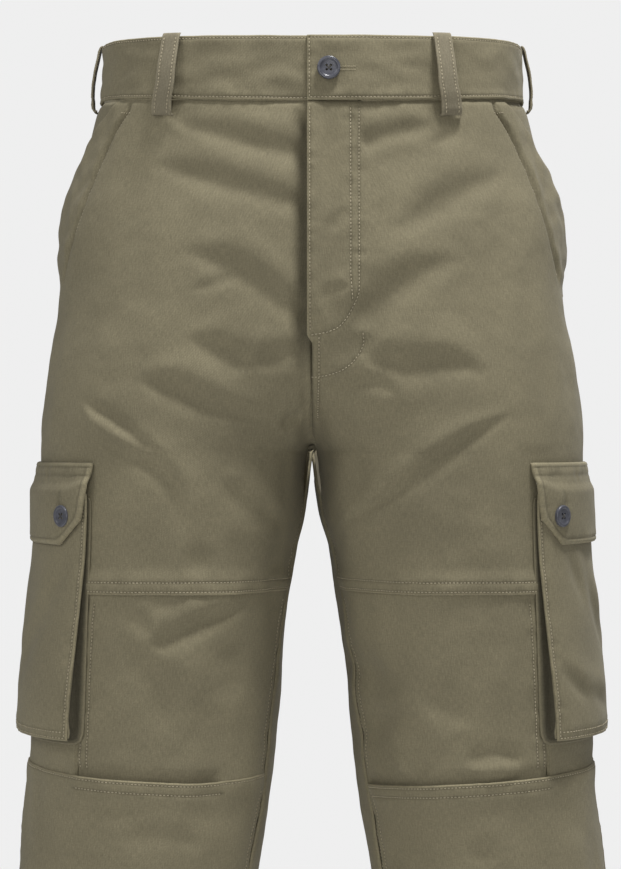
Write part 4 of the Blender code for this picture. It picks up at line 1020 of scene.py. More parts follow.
def upper_shape(side):
    """Laps, rolled edges, wear and painted shade of an upper front."""
    def shape(angles, levels, points, along, ahead):
        share = along / (along + ahead)
        over_knee = LAP * ramp(levels, -0.350, THIGH_SEAM + TUCK) * ramp(share, 0.32, 0.36)
        near_fly = ramp(np.abs(points[..., 0]), 0.034, 0.012)
        fly = np.where(levels > -0.215, near_fly, 0.0) * ramp(levels, FLY_CLOSED - 0.012, FLY_END)
        gape = ramp(levels, -0.050, -0.090) * ramp(levels, POCKET_END, -0.125)
        gape = gape * ramp(share, 0.16, 0.0) * GAPE
        mouth = ramp(levels, POCKET_END - 0.004, POCKET_END + 0.004)
        down = UPPER_TOP - levels
        hem = levels - THIGH_SEAM
        turn = mouth * rolled(along, 0.0016) + (1 - mouth) * pressed_seam(along)
        at_fly = ramp(levels, FLY_CLOSED, FLY_END)
        leg = np.where(levels > CROTCH, 0.6, 1.7)
        centre = leg * pressed_seam(ahead)
        if side < 0:
            sink = ramp(levels, CROTCH - 0.004, CROTCH + 0.006) * ramp(levels, FLY_END, FLY_CLOSED)
            centre = centre + slipped_under(ahead) * sink
            beside = ramp(np.abs(points[..., 0]), 0.019, 0.005)
            beside = beside * ramp(levels, -0.235, -0.190) * ramp(levels, -0.026, -0.042)
            turn = turn + FLY_FALL * beside
        else:
            turn = turn - 0.0013 * ramp(points[..., 0], 0.010, 0.0) * ramp(levels, -0.185, -0.160)
        hollow = ramp(levels, -0.215, -0.245) * ramp(levels, -0.320, -0.285)
        turn = turn + CROTCH_HOLLOW * hollow * np.exp(-(points[..., 0] / 0.010) ** 2)
        turn = turn + at_fly * rolled(ahead, 0.0013) + (1 - at_fly) * centre
        turn = turn + 0.7 * rolled(hem, 0.0015) + band_dip(down)
        wear = np.maximum(edge_wear_and_shade(hem), edge_wear_and_shade(along - 0.0008) * mouth)
        wear = np.maximum(wear, edge_wear_and_shade(ahead - 0.0008) * at_fly)
        if side < 0:
            wear = wear - 1.5 * beside ** 2         # painted shade beside the fly, where its edge casts a shadow
        hip, line = beside_mouth(side, angles, levels, points)
        # painted shade along the sewn valley of the hip pocket's line
        wear = wear - 1.1 * line
        return over_knee + side * FLY_LAP * fly + gape + hip - turn, wear
    return shape


def front_upper(side):
    fly_rows = (0.0020, 0.0308, 0.0367) if side > 0 else SEAM_ROWS
    levels = UPPER_TOP - level_steps(UPPER_TOP - THIGH_SEAM, 0.0019, (), HEM_ROWS)
    grid = grid_of(levels, 0.260, 0.0020, (0.0022, 0.0090), fly_rows, (0.0, 0.040))
    rows = inseam_rows(-0.285, THIGH_SEAM + 0.010) + thigh_rows()
    if side > 0:
        rows += [seen_row(way) for way in (FLY_OUTER, FLY_INNER, FLY_SECOND, FLY_EDGE_ROW, SEAM_ROW)]
    cloth = panel(
        f"front_upper_{side_name(side)}_cloth", side, grid, front_start,
        lambda level: front_middle(level, fly_reach(side, level)), (HALF_GAP, 0.0),
        upper_shape(side), rows, CLOTH, mouth_run,
    )
    sew_all("front", cloth, side, rows + [hip_line])
    sew("front", cloth, side, HIP_TACK, 0.0011)
    return cloth


uppers = {side: front_upper(side) for side in (1, -1)}


# %% Knee and side panels
def knee_levels(shares, side):
    """Rows from under the lap above to under the lap below; the lower seam drops inwards."""
    top = THIGH_SEAM + TUCK * ramp(shares, SIDE_SHARE + 0.01, SIDE_SHARE + 0.05)
    bottom = knee_seam(shares, side) - TUCK
    depth = THIGH_SEAM + TUCK - (KNEE_SEAM - TUCK)
    steps = even_shares(depth, 0.0020)
    return top + (bottom - top) * steps[:, None]


def plain_shape(angles, levels, points, along, ahead):
    turn = pressed_seam(along) + 1.7 * pressed_seam(ahead)
    return -turn, 0.6 * edge_wear_and_shade(np.minimum(along, ahead))


def knee_shape(side):
    def shape(angles, levels, points, along, ahead):
        share = SIDE_SHARE + (1 - SIDE_SHARE) * along / (along + ahead)
        above = levels - knee_seam(share, side)
        sunk = 0.0020 * ramp(above, 0.011, 0.002) * knee_fold(share, side)
        move, wear = plain_shape(angles, levels, points, along, ahead)
        return move - sunk, wear
    return shape


def knee_panel(side):
    shares = even_shares(0.175, 0.0021, SEAM_ROWS, SEAM_ROWS)
    whole = SIDE_SHARE + (1 - SIDE_SHARE) * shares
    grid = grid_of(knee_levels(whole, side), 0.175, 0.0021, SEAM_ROWS, SEAM_ROWS)
    rows = inseam_rows(THIGH_SEAM - 0.006, -0.500)
    levels = np.linspace(THIGH_SEAM - 0.006, -0.494, 14)
    rows += [seam_row(vertical_seam, inseam, distance, levels) for distance in SEAM_ROWS]
    cloth = panel(
        f"knee_panel_{side_name(side)}_cloth", side, grid, vertical_seam, inseam,
        (HALF_GAP, HALF_GAP), knee_shape(side), rows,
    )
    sew_all("front", cloth, side, rows)
    return cloth


def side_panel(side):
    shares = even_shares(0.095, 0.0040)
    grid = grid_of(knee_levels(SIDE_SHARE * shares, side), 0.095, 0.0040)
    return panel(
        f"side_panel_{side_name(side)}_cloth", side, grid, outseam, vertical_seam,
        (HALF_GAP, HALF_GAP), plain_shape,
    )


knees = {side: knee_panel(side) for side in (1, -1)}
sides = {side: side_panel(side) for side in (1, -1)}


# %% Lower fronts
def lower_shape(shares, side):
    edge = knee_seam(shares, side)[None, :]
    fold = knee_fold(shares, side)[None, :]

    def shape(angles, levels, points, along, ahead):
        down = edge - levels
        lap = LAP * (0.65 + 0.35 * fold)
        lift = lap * ramp(down, 0.024, 0.008) + fold * (0.0023 - LAP) * ramp(down, TUCK, 0.0)
        hem = levels - HEM
        turn = 0.9 * rolled(down, 0.0016) + 0.9 * rolled(hem, 0.0016)
        turn = turn + pressed_seam(along) + 1.7 * pressed_seam(ahead)
        wear = np.maximum(edge_wear_and_shade(down - 0.0006), edge_wear_and_shade(hem - 0.0006))
        return lift - turn, np.maximum(wear, 0.6 * edge_wear_and_shade(np.minimum(along, ahead)))
    return shape


def front_lower(side):
    shares = even_shares(0.240, 0.0029, (), SEAM_ROWS)
    steps = even_shares(KNEE_SEAM - HEM, 0.0029, HEM_ROWS, (HEM_TURN,))
    top = knee_seam(shares, side)
    levels = top + (HEM - top) * steps[:, None]
    grid = grid_of(levels, 0.240, 0.0029, (), SEAM_ROWS)
    low, high = HEM_ROWS
    last = 0.79 if side < 0 else 0.97

    def fold_end(level):
        return outseam(level) + last * (inseam(level) - outseam(level))

    def second(share):
        return knee_seam(SIDE_SHARE + (last - SIDE_SHARE) * share, side) - high

    rows = [
        level_row(outseam, inseam, lambda share: knee_seam(share, side) - low, (0.001, 0.001)),
        level_row(vertical_seam, fold_end, second, (0.001, 0.001)),
        level_row(outseam, inseam, lambda share: HEM + HEM_TURN),
    ]
    rows += inseam_rows(KNEE_SEAM - 0.020, HEM + 0.001)
    cloth = panel(
        f"front_lower_{side_name(side)}_cloth", side, grid, outseam, inseam,
        (HALF_GAP, HALF_GAP), lower_shape(shares, side), rows,
    )
    sew_all("front", cloth, side, rows)
    return cloth


lowers = {side: front_lower(side) for side in (1, -1)}


# %% [markdown]
# ## The back, the pocket facing and the waistband
#
# The back is one panel from the waistband to the hem. It is plain, with soft drag lines
# under the seat and behind the knee. The facing is the cloth that shows inside the open
# mouth of the hip pocket. The waistband is stiff with four layers, so it stays smooth, but
# its topstitching puckers it. Its left half laps over the right one at the front.

# %% Back panels
def back_rows():
    levels = np.linspace(UPPER_TOP - 0.004, CROTCH + 0.004, 40)
    rows = [seam_row(outseam, back_middle, distance, levels, False) for distance in (0.002, 0.008)]
    side = np.linspace(UPPER_TOP - 0.004, HEM + 0.002, 120)
    rows += [seam_row(outseam, back_middle, 0.0022, side)]
    rows += [level_row(outseam, back_middle, lambda share: HEM + HEM_TURN, (0.001, 0.001))]
    return rows


def back_shape(side):
    def shape(angles, levels, points, along, ahead):
        hem = levels - HEM
        down = UPPER_TOP - levels
        turn = pressed_seam(along) + pressed_seam(ahead) + 0.9 * rolled(hem, 0.0016)
        turn = turn + band_dip(down)
        if side < 0:
            sink = ramp(levels, CROTCH - 0.004, CROTCH + 0.006)
            turn = turn + slipped_under(ahead) * sink
        wear = np.maximum(edge_wear_and_shade(hem - 0.0006), 0.6 * edge_wear_and_shade(np.minimum(along, ahead)))
        return -turn, wear
    return shape


def back_reach(side):
    """The right back's edge passes under the left one's at the centre seam."""
    x = HALF_GAP if side > 0 else -CENTRE_UNDER
    return lambda level: back_middle(level, x)


def back(side):
    levels = UPPER_TOP - level_steps(UPPER_TOP - HEM, 0.0036, (), (HEM_TURN,))
    grid = grid_of(levels, 0.270, 0.0036, (0.0022,), (0.002, 0.008))
    rows = back_rows()
    cloth = panel(
        f"back_{side_name(side)}_cloth", side, grid, outseam, back_reach(side),
        (HALF_GAP, HALF_GAP), back_shape(side), rows,
    )
    sew_all("back", cloth, side, rows)
    return cloth


backs = {side: back(side) for side in (1, -1)}


# %% Facing inside the hip pocket
FACING_UNDER = math.radians(13)     # how far the facing runs on under the front
FACING_END = -0.156


def facing_end(level):
    return np.radians(mouth_degrees(level)) + FACING_UNDER


def facing_shape(angles, levels, points, along, ahead):
    seam = outseam(levels)
    mouth = np.radians(mouth_degrees(levels))
    shown = np.clip((angles - seam) / np.maximum(mouth - seam, 0.01), 0, 1)
    sunk = np.maximum(ramp(shown, 0.0, 1.0), ramp(levels, -0.110, -0.130))
    down = UPPER_TOP - levels
    dip = pressed_seam(along) + band_dip(down)
    return -0.0002 - 0.0018 * sunk - dip, np.zeros(levels.shape)


def hip_facing(side):
    levels = UPPER_TOP - level_steps(UPPER_TOP - FACING_END, 0.0026)
    return panel(
        f"hip_facing_{side_name(side)}_cloth", side, grid_of(levels, 0.075, 0.0024), outseam,
        facing_end, (HALF_GAP, 0.0), facing_shape,
    )


facings = {side: hip_facing(side) for side in (1, -1)}


# %% Waistband
def band_end(side):
    reach = -FLY_EDGE if side > 0 else -BAND_UNDER
    return lambda level: place_angle(level, reach)


def band_start(level):
    return place_angle(level, HALF_GAP, -1)


def band_shape(side):
    def shape(angles, levels, points, along, ahead):
        front = np.where(np.sin(angles) > 0, 1.0, 0.0)
        if side > 0:
            lap = BAND_LAP * ramp(points[..., 0], 0.070, BAND_UNDER + 0.005)
        else:
            lap = -BAND_LAP * ramp(points[..., 0], 0.045, 0.014)
        top, bottom = BAND_TOP - levels, levels - BAND_BOTTOM
        turn = rolled(top, 0.0018) + rolled(bottom, 0.0016) + rolled(ahead, 0.0016)
        turn = turn + pressed_seam(along)
        soft = 0.0012 * wander(points * np.array([1.0, 1.0, 2.0]), 0.022, 5.0 * side)
        wear = np.maximum(edge_wear_and_shade(top - 0.0008), edge_wear_and_shade(ahead - 0.0008))
        return BAND_OUT + lap * front - turn + soft, np.maximum(wear, 0.6 * edge_wear_and_shade(bottom))
    return shape


def waistband(side):
    start, end = band_start, band_end(side)
    length = 0.455 if side > 0 else 0.486
    levels = BAND_TOP - level_steps(BAND_TOP - BAND_BOTTOM, 0.0016, (0.0022,), (0.0024,))
    grid = grid_of(levels, length, 0.0019, (), (0.0020,))
    rows = [
        level_row(start, end, lambda share: BAND_TOP - 0.0022, (0.002, 0.002)),
        level_row(start, end, lambda share: BAND_BOTTOM + 0.0024, (0.002, 0.002)),
    ]
    if side > 0:
        up = np.linspace(BAND_TOP - 0.002, BAND_BOTTOM + 0.002, 8)
        rows += [seam_row(start, end, 0.0020, up, False)]
    cloth = panel(
        f"waistband_{side_name(side)}_cloth", side, grid, start, end, (0.0, 0.0),
        band_shape(side), rows, BAND_WALL,
    )
    sew_all("band", cloth, side, rows)
    return cloth


bands = {side: waistband(side) for side in (1, -1)}
print("stitches so far:", stitch_count)


# %% [markdown]
# ## Belt loops
#
# Each loop is a strip folded from one piece of cloth, sewn down under the band and at its
# top edge, and bowed clear of the band between them so that a belt can pass. Its outer face
# follows a short table of levels and stand-offs, and two rows of stitches hold its folded
# sides.

# %% Belt loops
LoopPoint = namedtuple("LoopPoint", "level off bow")
LOOP_FACE = [
    LoopPoint(-0.0302, 0.0016, 0.0),
    LoopPoint(-0.0306, 0.0026, 0.0),
    LoopPoint(-0.0296, 0.0042, 0.1),
    LoopPoint(-0.0262, 0.0062, 0.4),
    LoopPoint(-0.0195, 0.0084, 0.9),
    LoopPoint(-0.0095, 0.0090, 1.0),
    LoopPoint(0.0030, 0.0080, 0.9),
    LoopPoint(0.0165, 0.0055, 0.4),
    LoopPoint(0.0222, 0.0044, 0.1),
    LoopPoint(0.0250, 0.0034, 0.0),
    LoopPoint(0.0258, 0.0022, 0.0),
]
LOOP_WIDTH = 0.014
LOOP_WALL = 0.0015
LOOP_EDGE = 0.0011              # radius of its folded sides
LOOP_ROW = 0.0024               # from a side to its row of stitches
LOOP_END = -0.0305
Loop = namedtuple("Loop", "name side x face low bow lean")
LOOPS = [
    Loop("front_left", 1, 0.0920, "front", -0.0350, 0.0008, 0.03),
    Loop("front_right", -1, 0.0995, "front", -0.0350, 0.0008, 0.03),
    Loop("side_left", 1, None, "side", -0.0285, 0.0, 0.0),
    Loop("side_right", -1, None, "side", -0.0285, 0.0, 0.0),
    Loop("back_left", 1, 0.0900, "back", -0.0310, 0.0008, 0.0),
    Loop("back_right", -1, 0.0900, "back", -0.0310, 0.0008, 0.0),
    Loop("centre_back", 1, 0.0, "back", -0.0310, 0.0, 0.0),
]


def loop_angle(loop):
    """Angle of a belt loop's middle on the band."""
    if loop.face == "side":
        return 0.0
    share = loop.x / outer_at(0.0)
    turn = math.acos(share ** (power_at(0.0) / 2))
    return turn if loop.face == "front" else -turn


def loop_path(loop):
    """Levels and stand-offs up the loop's outer face, at an even pitch."""
    stretch = (loop.low - BAND_BOTTOM) / (LOOP_END - BAND_BOTTOM)
    path = []
    for point in LOOP_FACE:
        below = min(point.level - BAND_BOTTOM, 0.0)
        path.append((point.level + below * (stretch - 1), point.off + point.bow * loop.bow))
    path = np.array(path)
    for _ in range(3):          # cutting corners rounds the path
        starts, ends = path[:-1], path[1:]
        cut = np.stack([starts * 0.75 + ends * 0.25, starts * 0.25 + ends * 0.75], axis=1)
        path = np.concatenate([path[:1], cut.reshape(-1, 2), path[-1:]])
    run = run_along(path)
    at = np.linspace(0, run[-1], 46)
    return np.interp(at, run, path[:, 0]), np.interp(at, run, path[:, 1]), at


def belt_loop(loop):
    levels, offs, run = loop_path(loop)
    across = even_places(LOOP_WIDTH, 0.0009) - LOOP_WIDTH / 2
    middle = loop_angle(loop)
    angles = np.stack([
        along_leg(0.0, middle, across * (1 - 2.5 * min(level, 0.0)) + loop.lean * level)
        for level in levels
    ])
    grid = rows_of(levels, len(across))
    edge = LOOP_WIDTH / 2 - np.abs(across)
    gaps = np.abs(edge - LOOP_ROW)
    knots = np.random.default_rng(40 + len(loop.name)).uniform(-1, 1, 12)
    ripple = np.interp(run, np.linspace(0, run[-1], 12), knots)[:, None]
    relief = -rolled(edge, LOOP_EDGE)[None, :] - 0.00035 * np.exp(-(gaps / 0.0009) ** 2)[None, :]
    relief = relief + 0.00022 * ripple * np.exp(-(gaps / 0.002) ** 2)[None, :]
    folded = np.exp(-((levels - loop.low - 0.0035) / 0.0035) ** 2)
    relief = relief + 0.0007 * folded[:, None] * (1 - rolled(edge, LOOP_EDGE) / LOOP_EDGE)[None, :]
    points = skin(angles, grid) + (offs[:, None] + relief)[..., None] * outward(angles, grid)
    wear = np.broadcast_to(edge_wear_and_shade(edge - 0.0006, 0.0010), grid.shape)
    cloth = make_cloth(
        f"belt_loop_{loop.name}_cloth", mirrored(loop.side, points),
        mirrored(loop.side, outward(angles, grid)), rows_of(across, len(run)).T,
        rows_of(run, len(across)), wear, LOOP_WALL,
    )
    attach(cloth.piece, "root")
    at = np.linspace(run[2], run[-4], max(2, round((run[-4] - run[2]) / STITCH_PITCH)))
    for place in (-LOOP_WIDTH / 2 + LOOP_ROW, LOOP_WIDTH / 2 - LOOP_ROW):
        spots = []
        for one in at:
            level = np.interp(one, run, levels)
            angle = along_leg(0.0, middle, np.array([place + loop.lean * level]))
            off = np.interp(one, run, offs)
            spots.append((angle[0], level, off))
        spots = np.array(spots)
        normals = outward(spots[:, 0], spots[:, 1])
        centres = skin(spots[:, 0], spots[:, 1]) + spots[:, 2:3] * normals
        seen, facing = mirrored(loop.side, centres), mirrored(loop.side, normals)
        lay_stitches("band", cloth.tree, seen, facing)
    return cloth


loops = {loop.name: belt_loop(loop) for loop in LOOPS}
print("belt loops:", len(loops))

# %% [markdown]
# ## The bellows pockets
#
# A cargo pocket stands off the leg on a strip that is folded in like a bellows, so its front
# hangs clear of the leg and casts a shadow along its edge. The front is one sheet, slack at
# its lower corners, and a flap with cut corners closes it. All of it is drawn on the leg's
# own form: a place is a level and a length of cloth in front of the pocket's middle.

# %% Places on the leg
POCKET_HALF = 0.0915
POCKET_MIDDLE = 0.022           # its middle lies this far in front of the outseam
POCKET_LEAN = 0.085             # metres forward for each metre up
POCKET_BOTTOM = -0.478
GUSSET_TOP = -0.3005
GUSSET_LAYER = 0.0008
GUSSET_SEAT = 0.0006            # air between the leg and the strip
GUSSET_DEPTH = 0.0125           # from the pocket's edge in to the strip's crease
PLEAT_SHADE = 2.4               # how dark the painted shade inside the pleat is
FACE_TOP = -0.2985
FACE_SEAT = 0.0005              # air between the strip and the pocket's front
FACE_WALL = 0.0012
FLAP_TOP = -0.278
FLAP_BOTTOM = -0.334
FLAP_CORNER_LEVEL = -0.316
FLAP_HALF = 0.0935
FLAP_TAPER = 0.19               # how much narrower each half gets for each metre down
FLAP_CORNER = 0.017             # width of each cut corner
FLAP_WALL = 0.0015
FLAP_BUTTON_IN = 0.023          # from the flap's side to its button
FLAP_BUTTON_LEVEL = -0.3145
Bellows = namedtuple("Bellows", "level off inset")
BELLOWS = [
    Bellows(-0.280, 0.0033, 0.0020),
    Bellows(-0.300, 0.0033, 0.0020),
    Bellows(-0.340, 0.0036, 0.0028),
    Bellows(-0.370, 0.0051, 0.0038),
    Bellows(-0.400, 0.0067, 0.0052),
    Bellows(-0.430, 0.0087, 0.0068),
    Bellows(-0.460, 0.0098, 0.0080),
    Bellows(-0.490, 0.0104, 0.0080),
]
FACE_BOTTOM_INSET = 0.004
FlapRow = namedtuple("FlapRow", "share off")
FLAP_ROWS = [
    FlapRow(0.00, 0.0006), FlapRow(0.12, 0.0012), FlapRow(0.23, 0.0024),
    FlapRow(0.36, 0.0054), FlapRow(0.66, 0.0056), FlapRow(1.00, 0.0054),
]
bellows_off = curve_through(BELLOWS, "off")
bellows_inset = curve_through(BELLOWS, "inset")
flap_off = curve_through(FLAP_ROWS, "off")

TABLE_STEP = 0.002
TABLE_LEVELS = np.arange(-0.490, -0.268, TABLE_STEP)
TABLE_ALONG = np.arange(-0.100, 0.1201, TABLE_STEP)
TABLE = np.stack([along_leg(level, float(outseam(level)), TABLE_ALONG) for level in TABLE_LEVELS])


def leg_angle(along, level):
    """Angle of a place given as a length in front of the pocket's middle, and a level."""
    along = along + POCKET_MIDDLE + POCKET_LEAN * (level - FLAP_TOP)
    u = np.clip((along - TABLE_ALONG[0]) / TABLE_STEP, 0, len(TABLE_ALONG) - 1.001)
    v = np.clip((level - TABLE_LEVELS[0]) / TABLE_STEP, 0, len(TABLE_LEVELS) - 1.001)
    i, j = u.astype(int), v.astype(int)
    s, t = u - i, v - j
    low = TABLE[j, i] * (1 - s) + TABLE[j, i + 1] * s
    high = TABLE[j + 1, i] * (1 - s) + TABLE[j + 1, i + 1] * s
    return low * (1 - t) + high * t


def leg_cloth(name, side, along, levels, off, wear, wall, rows=()):
    """A sheet laid on the leg at a stand-off; rows are stitch rows as (along, level)."""
    angles = leg_angle(along, levels)
    points, normals = skin(angles, levels), outward(angles, levels)
    move = off
    sunk = np.zeros(levels.shape)
    pressed = []
    for number, (row_along, row_levels) in enumerate(rows):
        row = Row(leg_angle(row_along, row_levels), row_levels)
        sewn, low = sew_down(points, row, 300 + number)
        move = move + sewn
        # painted shade along the pocket's stitch grooves
        sunk = np.maximum(sunk, low)
        pressed.append(row)
    outer = mirrored(side, points + move[..., None] * normals)
    cloth = make_cloth(name, outer, mirrored(side, normals), along, levels, wear, wall, sunk)
    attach(cloth.piece, "root")
    for row in pressed:
        sew("pocket", cloth, side, row)
    print(name, "faces:", len(cloth.piece.data.polygons))
    return cloth


def path_row(places, pitch=0.003):
    """A stitch row through (along, level) places."""
    places = np.array(places, float)
    run = run_along(places)
    at = np.linspace(0, run[-1], max(6, int(run[-1] / pitch)))
    return np.interp(at, run, places[:, 0]), np.interp(at, run, places[:, 1])


# %% Bellows strip
def gusset_ring(along, level, inward):
    """Section of the folded strip; inward points from the leg line into the pocket."""
    edge = float(bellows_inset(level)) if inward[1] == 0 else FACE_BOTTOM_INSET
    fold, lip = GUSSET_DEPTH, GUSSET_DEPTH - 0.0015
    crease = lip - 0.0006
    section = [
        (0.0, 0, 0), (lip, 0, 0), (fold, 0.5, 0), (lip, 1, 0), (edge, 1, 0),
        (edge, 1, -1), (crease, 1, -1), (fold - GUSSET_LAYER, 0.5, 0), (crease, 0, 1),
        (0.75 * edge + 0.0005, 0, 1), (0.0, 0, 1),
    ]
    ring = []
    for reach, share, layers in section:
        place = np.array([level + inward[1] * reach])
        room = bellows_off(place) - FACE_SEAT - GUSSET_SEAT
        off = GUSSET_SEAT + share * room + layers * GUSSET_LAYER
        angle = leg_angle(np.array([along + inward[0] * reach]), place)
        ring.append((skin(angle, place) + off[:, None] * outward(angle, place))[0])
    return ring


def cargo_gusset(side):
    rings = []
    side_levels = np.linspace(GUSSET_TOP, -0.462, 34)
    for level in side_levels:
        rings.append(gusset_ring(POCKET_HALF, level, (-1.0, 0.0)))
    rings.append(gusset_ring(POCKET_HALF, POCKET_BOTTOM, (-1.0, 1.0)))
    inner_half = POCKET_HALF - GUSSET_DEPTH - 0.002
    for along in np.linspace(inner_half, -inner_half, 36):
        rings.append(gusset_ring(along, POCKET_BOTTOM, (0.0, 1.0)))
    rings.append(gusset_ring(-POCKET_HALF, POCKET_BOTTOM, (1.0, 1.0)))
    for level in reversed(side_levels):
        rings.append(gusset_ring(-POCKET_HALF, level, (1.0, 0.0)))
    rings = mirrored(side, np.array(rings))
    steps, around = rings.shape[0] - 1, rings.shape[1]
    bm = bmesh.new()
    uv = bm.loops.layers.uv.new("cloth")
    bmesh.ops.create_grid(bm, x_segments=around, y_segments=steps, size=1.0, calc_uvs=True)
    for face in bm.faces:
        for corner in face.loops:
            corner[uv].uv = (corner[uv].uv.x * 0.030, corner[uv].uv.y * 0.500)
    painted_shade_layer = bm.verts.layers.float.new("sunk")
    for vert in bm.verts:
        column = round((vert.co.x + 1) / 2 * around) % around
        row = round((vert.co.y + 1) / 2 * steps)
        vert.co = Vector(rings[row, column])
        # painted shade deep inside the pleat, in the columns of its fold
        vert[painted_shade_layer] = PLEAT_SHADE if column in (6, 7, 8, 9) else 0.0
    bmesh.ops.remove_doubles(bm, verts=bm.verts, dist=1e-7)
    open_edges = [edge for edge in bm.edges if edge.is_boundary]
    bmesh.ops.holes_fill(bm, edges=open_edges, sides=around)
    bmesh.ops.recalc_face_normals(bm, faces=bm.faces)
    name = f"cargo_gusset_{side_name(side)}_cloth"
    area = sum(face.calc_area() for face in bm.faces) / 2
    mesh = mesh_of(bm, name)
    mesh.attributes.new("wear", "FLOAT", "POINT")
    mesh.shade_smooth()
    piece = add_object(name, mesh)
    soften = piece.modifiers.new("soften", "SUBSURF")
    soften.levels = 1
    soften.render_levels = 1
    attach(piece, "root")
    closed = np.concatenate([rings, rings[:, :1]], axis=1)
    girths = np.linalg.norm(np.diff(closed, axis=1), axis=2).sum(axis=1)
    length = np.linalg.norm(np.diff(rings[:, 0], axis=0), axis=1).sum()
    return Cloth(piece, None, (np.quantile(girths, 0.95) / 2, length), area)


gussets = {side: cargo_gusset(side) for side in (1, -1)}


# %% Pocket fronts
FaceCrease = namedtuple("FaceCrease", "along level turn length width depth")
FACE_CREASES = [
    FaceCrease(0.020, -0.385, 55.0, 0.070, 0.008, 0.0026),
    FaceCrease(0.052, -0.360, 62.0, 0.050, 0.006, 0.0018),
    FaceCrease(-0.030, -0.410, -50.0, 0.070, 0.009, 0.0024),
    FaceCrease(0.064, -0.435, 40.0, 0.045, 0.006, 0.0022),
    FaceCrease(-0.060, -0.370, -60.0, 0.060, 0.008, 0.0018),
    FaceCrease(0.030, -0.448, 20.0, 0.050, 0.007, 0.0018),
]


def slack(along, levels):
    """Creases of the pocket's front: short soft troughs at a slant."""
    move = np.zeros(levels.shape)
    for crease in FACE_CREASES:
        turn = math.radians(crease.turn)
        du, dv = along - crease.along, levels - crease.level
        run = du * math.cos(turn) + dv * math.sin(turn)
        away = -du * math.sin(turn) + dv * math.cos(turn)
        fade = np.exp(-(run / (0.45 * crease.length)) ** 2)
        trough = np.exp(-(away / crease.width) ** 2)
        crest = 0.6 * np.exp(-((away - 1.8 * crease.width) / (1.3 * crease.width)) ** 2)
        move += crease.depth * fade * (crest - trough)
    return move


def cargo_face(side):
    width = 2 * POCKET_HALF
    shares = even_places(width, 0.0021) / width * 2 - 1
    bottom = POCKET_BOTTOM + FACE_BOTTOM_INSET
    depth = FACE_TOP - bottom
    column_levels = FACE_TOP - even_places(depth, 0.0021)
    levels = rows_of(column_levels, len(shares))
    half = POCKET_HALF - bellows_inset(levels)
    along = shares[None, :] * half
    edge = half - np.abs(along)
    low = levels - bottom
    free = ramp(edge, 0.0, 0.012) * ramp(low, 0.0, 0.012) * ramp(levels, -0.318, -0.340)
    off = bellows_off(levels) + FACE_WALL - rolled(edge, 0.0013) - rolled(low, 0.0013)
    soft = 0.0008 * wander(np.stack([along, levels, 0 * along], axis=-1), 0.030, 9.0 * side)
    off = off + free * (np.maximum(slack(side * along, levels), -0.0020) + soft + 0.0010)
    wear = np.maximum(edge_wear_and_shade(edge - 0.0006), edge_wear_and_shade(low - 0.0006))

    def inside(level, distance):
        return POCKET_HALF - float(bellows_inset(level)) - distance

    steps = np.linspace(FACE_TOP - 0.004, bottom + 0.0025, 50)
    beside = np.array([inside(level, 0.0026) for level in steps])
    rows = [(beside, steps), (-beside, steps)]
    for short, up in ((0.004, 0.0062), (0.002, 0.0020)):
        end = inside(bottom, short)
        rows.append(path_row([(end, bottom + up), (-end, bottom + up)]))
    name = f"cargo_face_{side_name(side)}_cloth"
    return leg_cloth(name, side, along, levels, off, wear, FACE_WALL, rows)


faces = {side: cargo_face(side) for side in (1, -1)}


# %% Pocket flaps
def flap_bottom(along):
    """Level of the flap's lower edge: straight, with its two corners cut off."""
    past = np.maximum(np.abs(along) - (FLAP_HALF - FLAP_CORNER), 0.0)
    return FLAP_BOTTOM + past / FLAP_CORNER * (FLAP_CORNER_LEVEL - FLAP_BOTTOM)


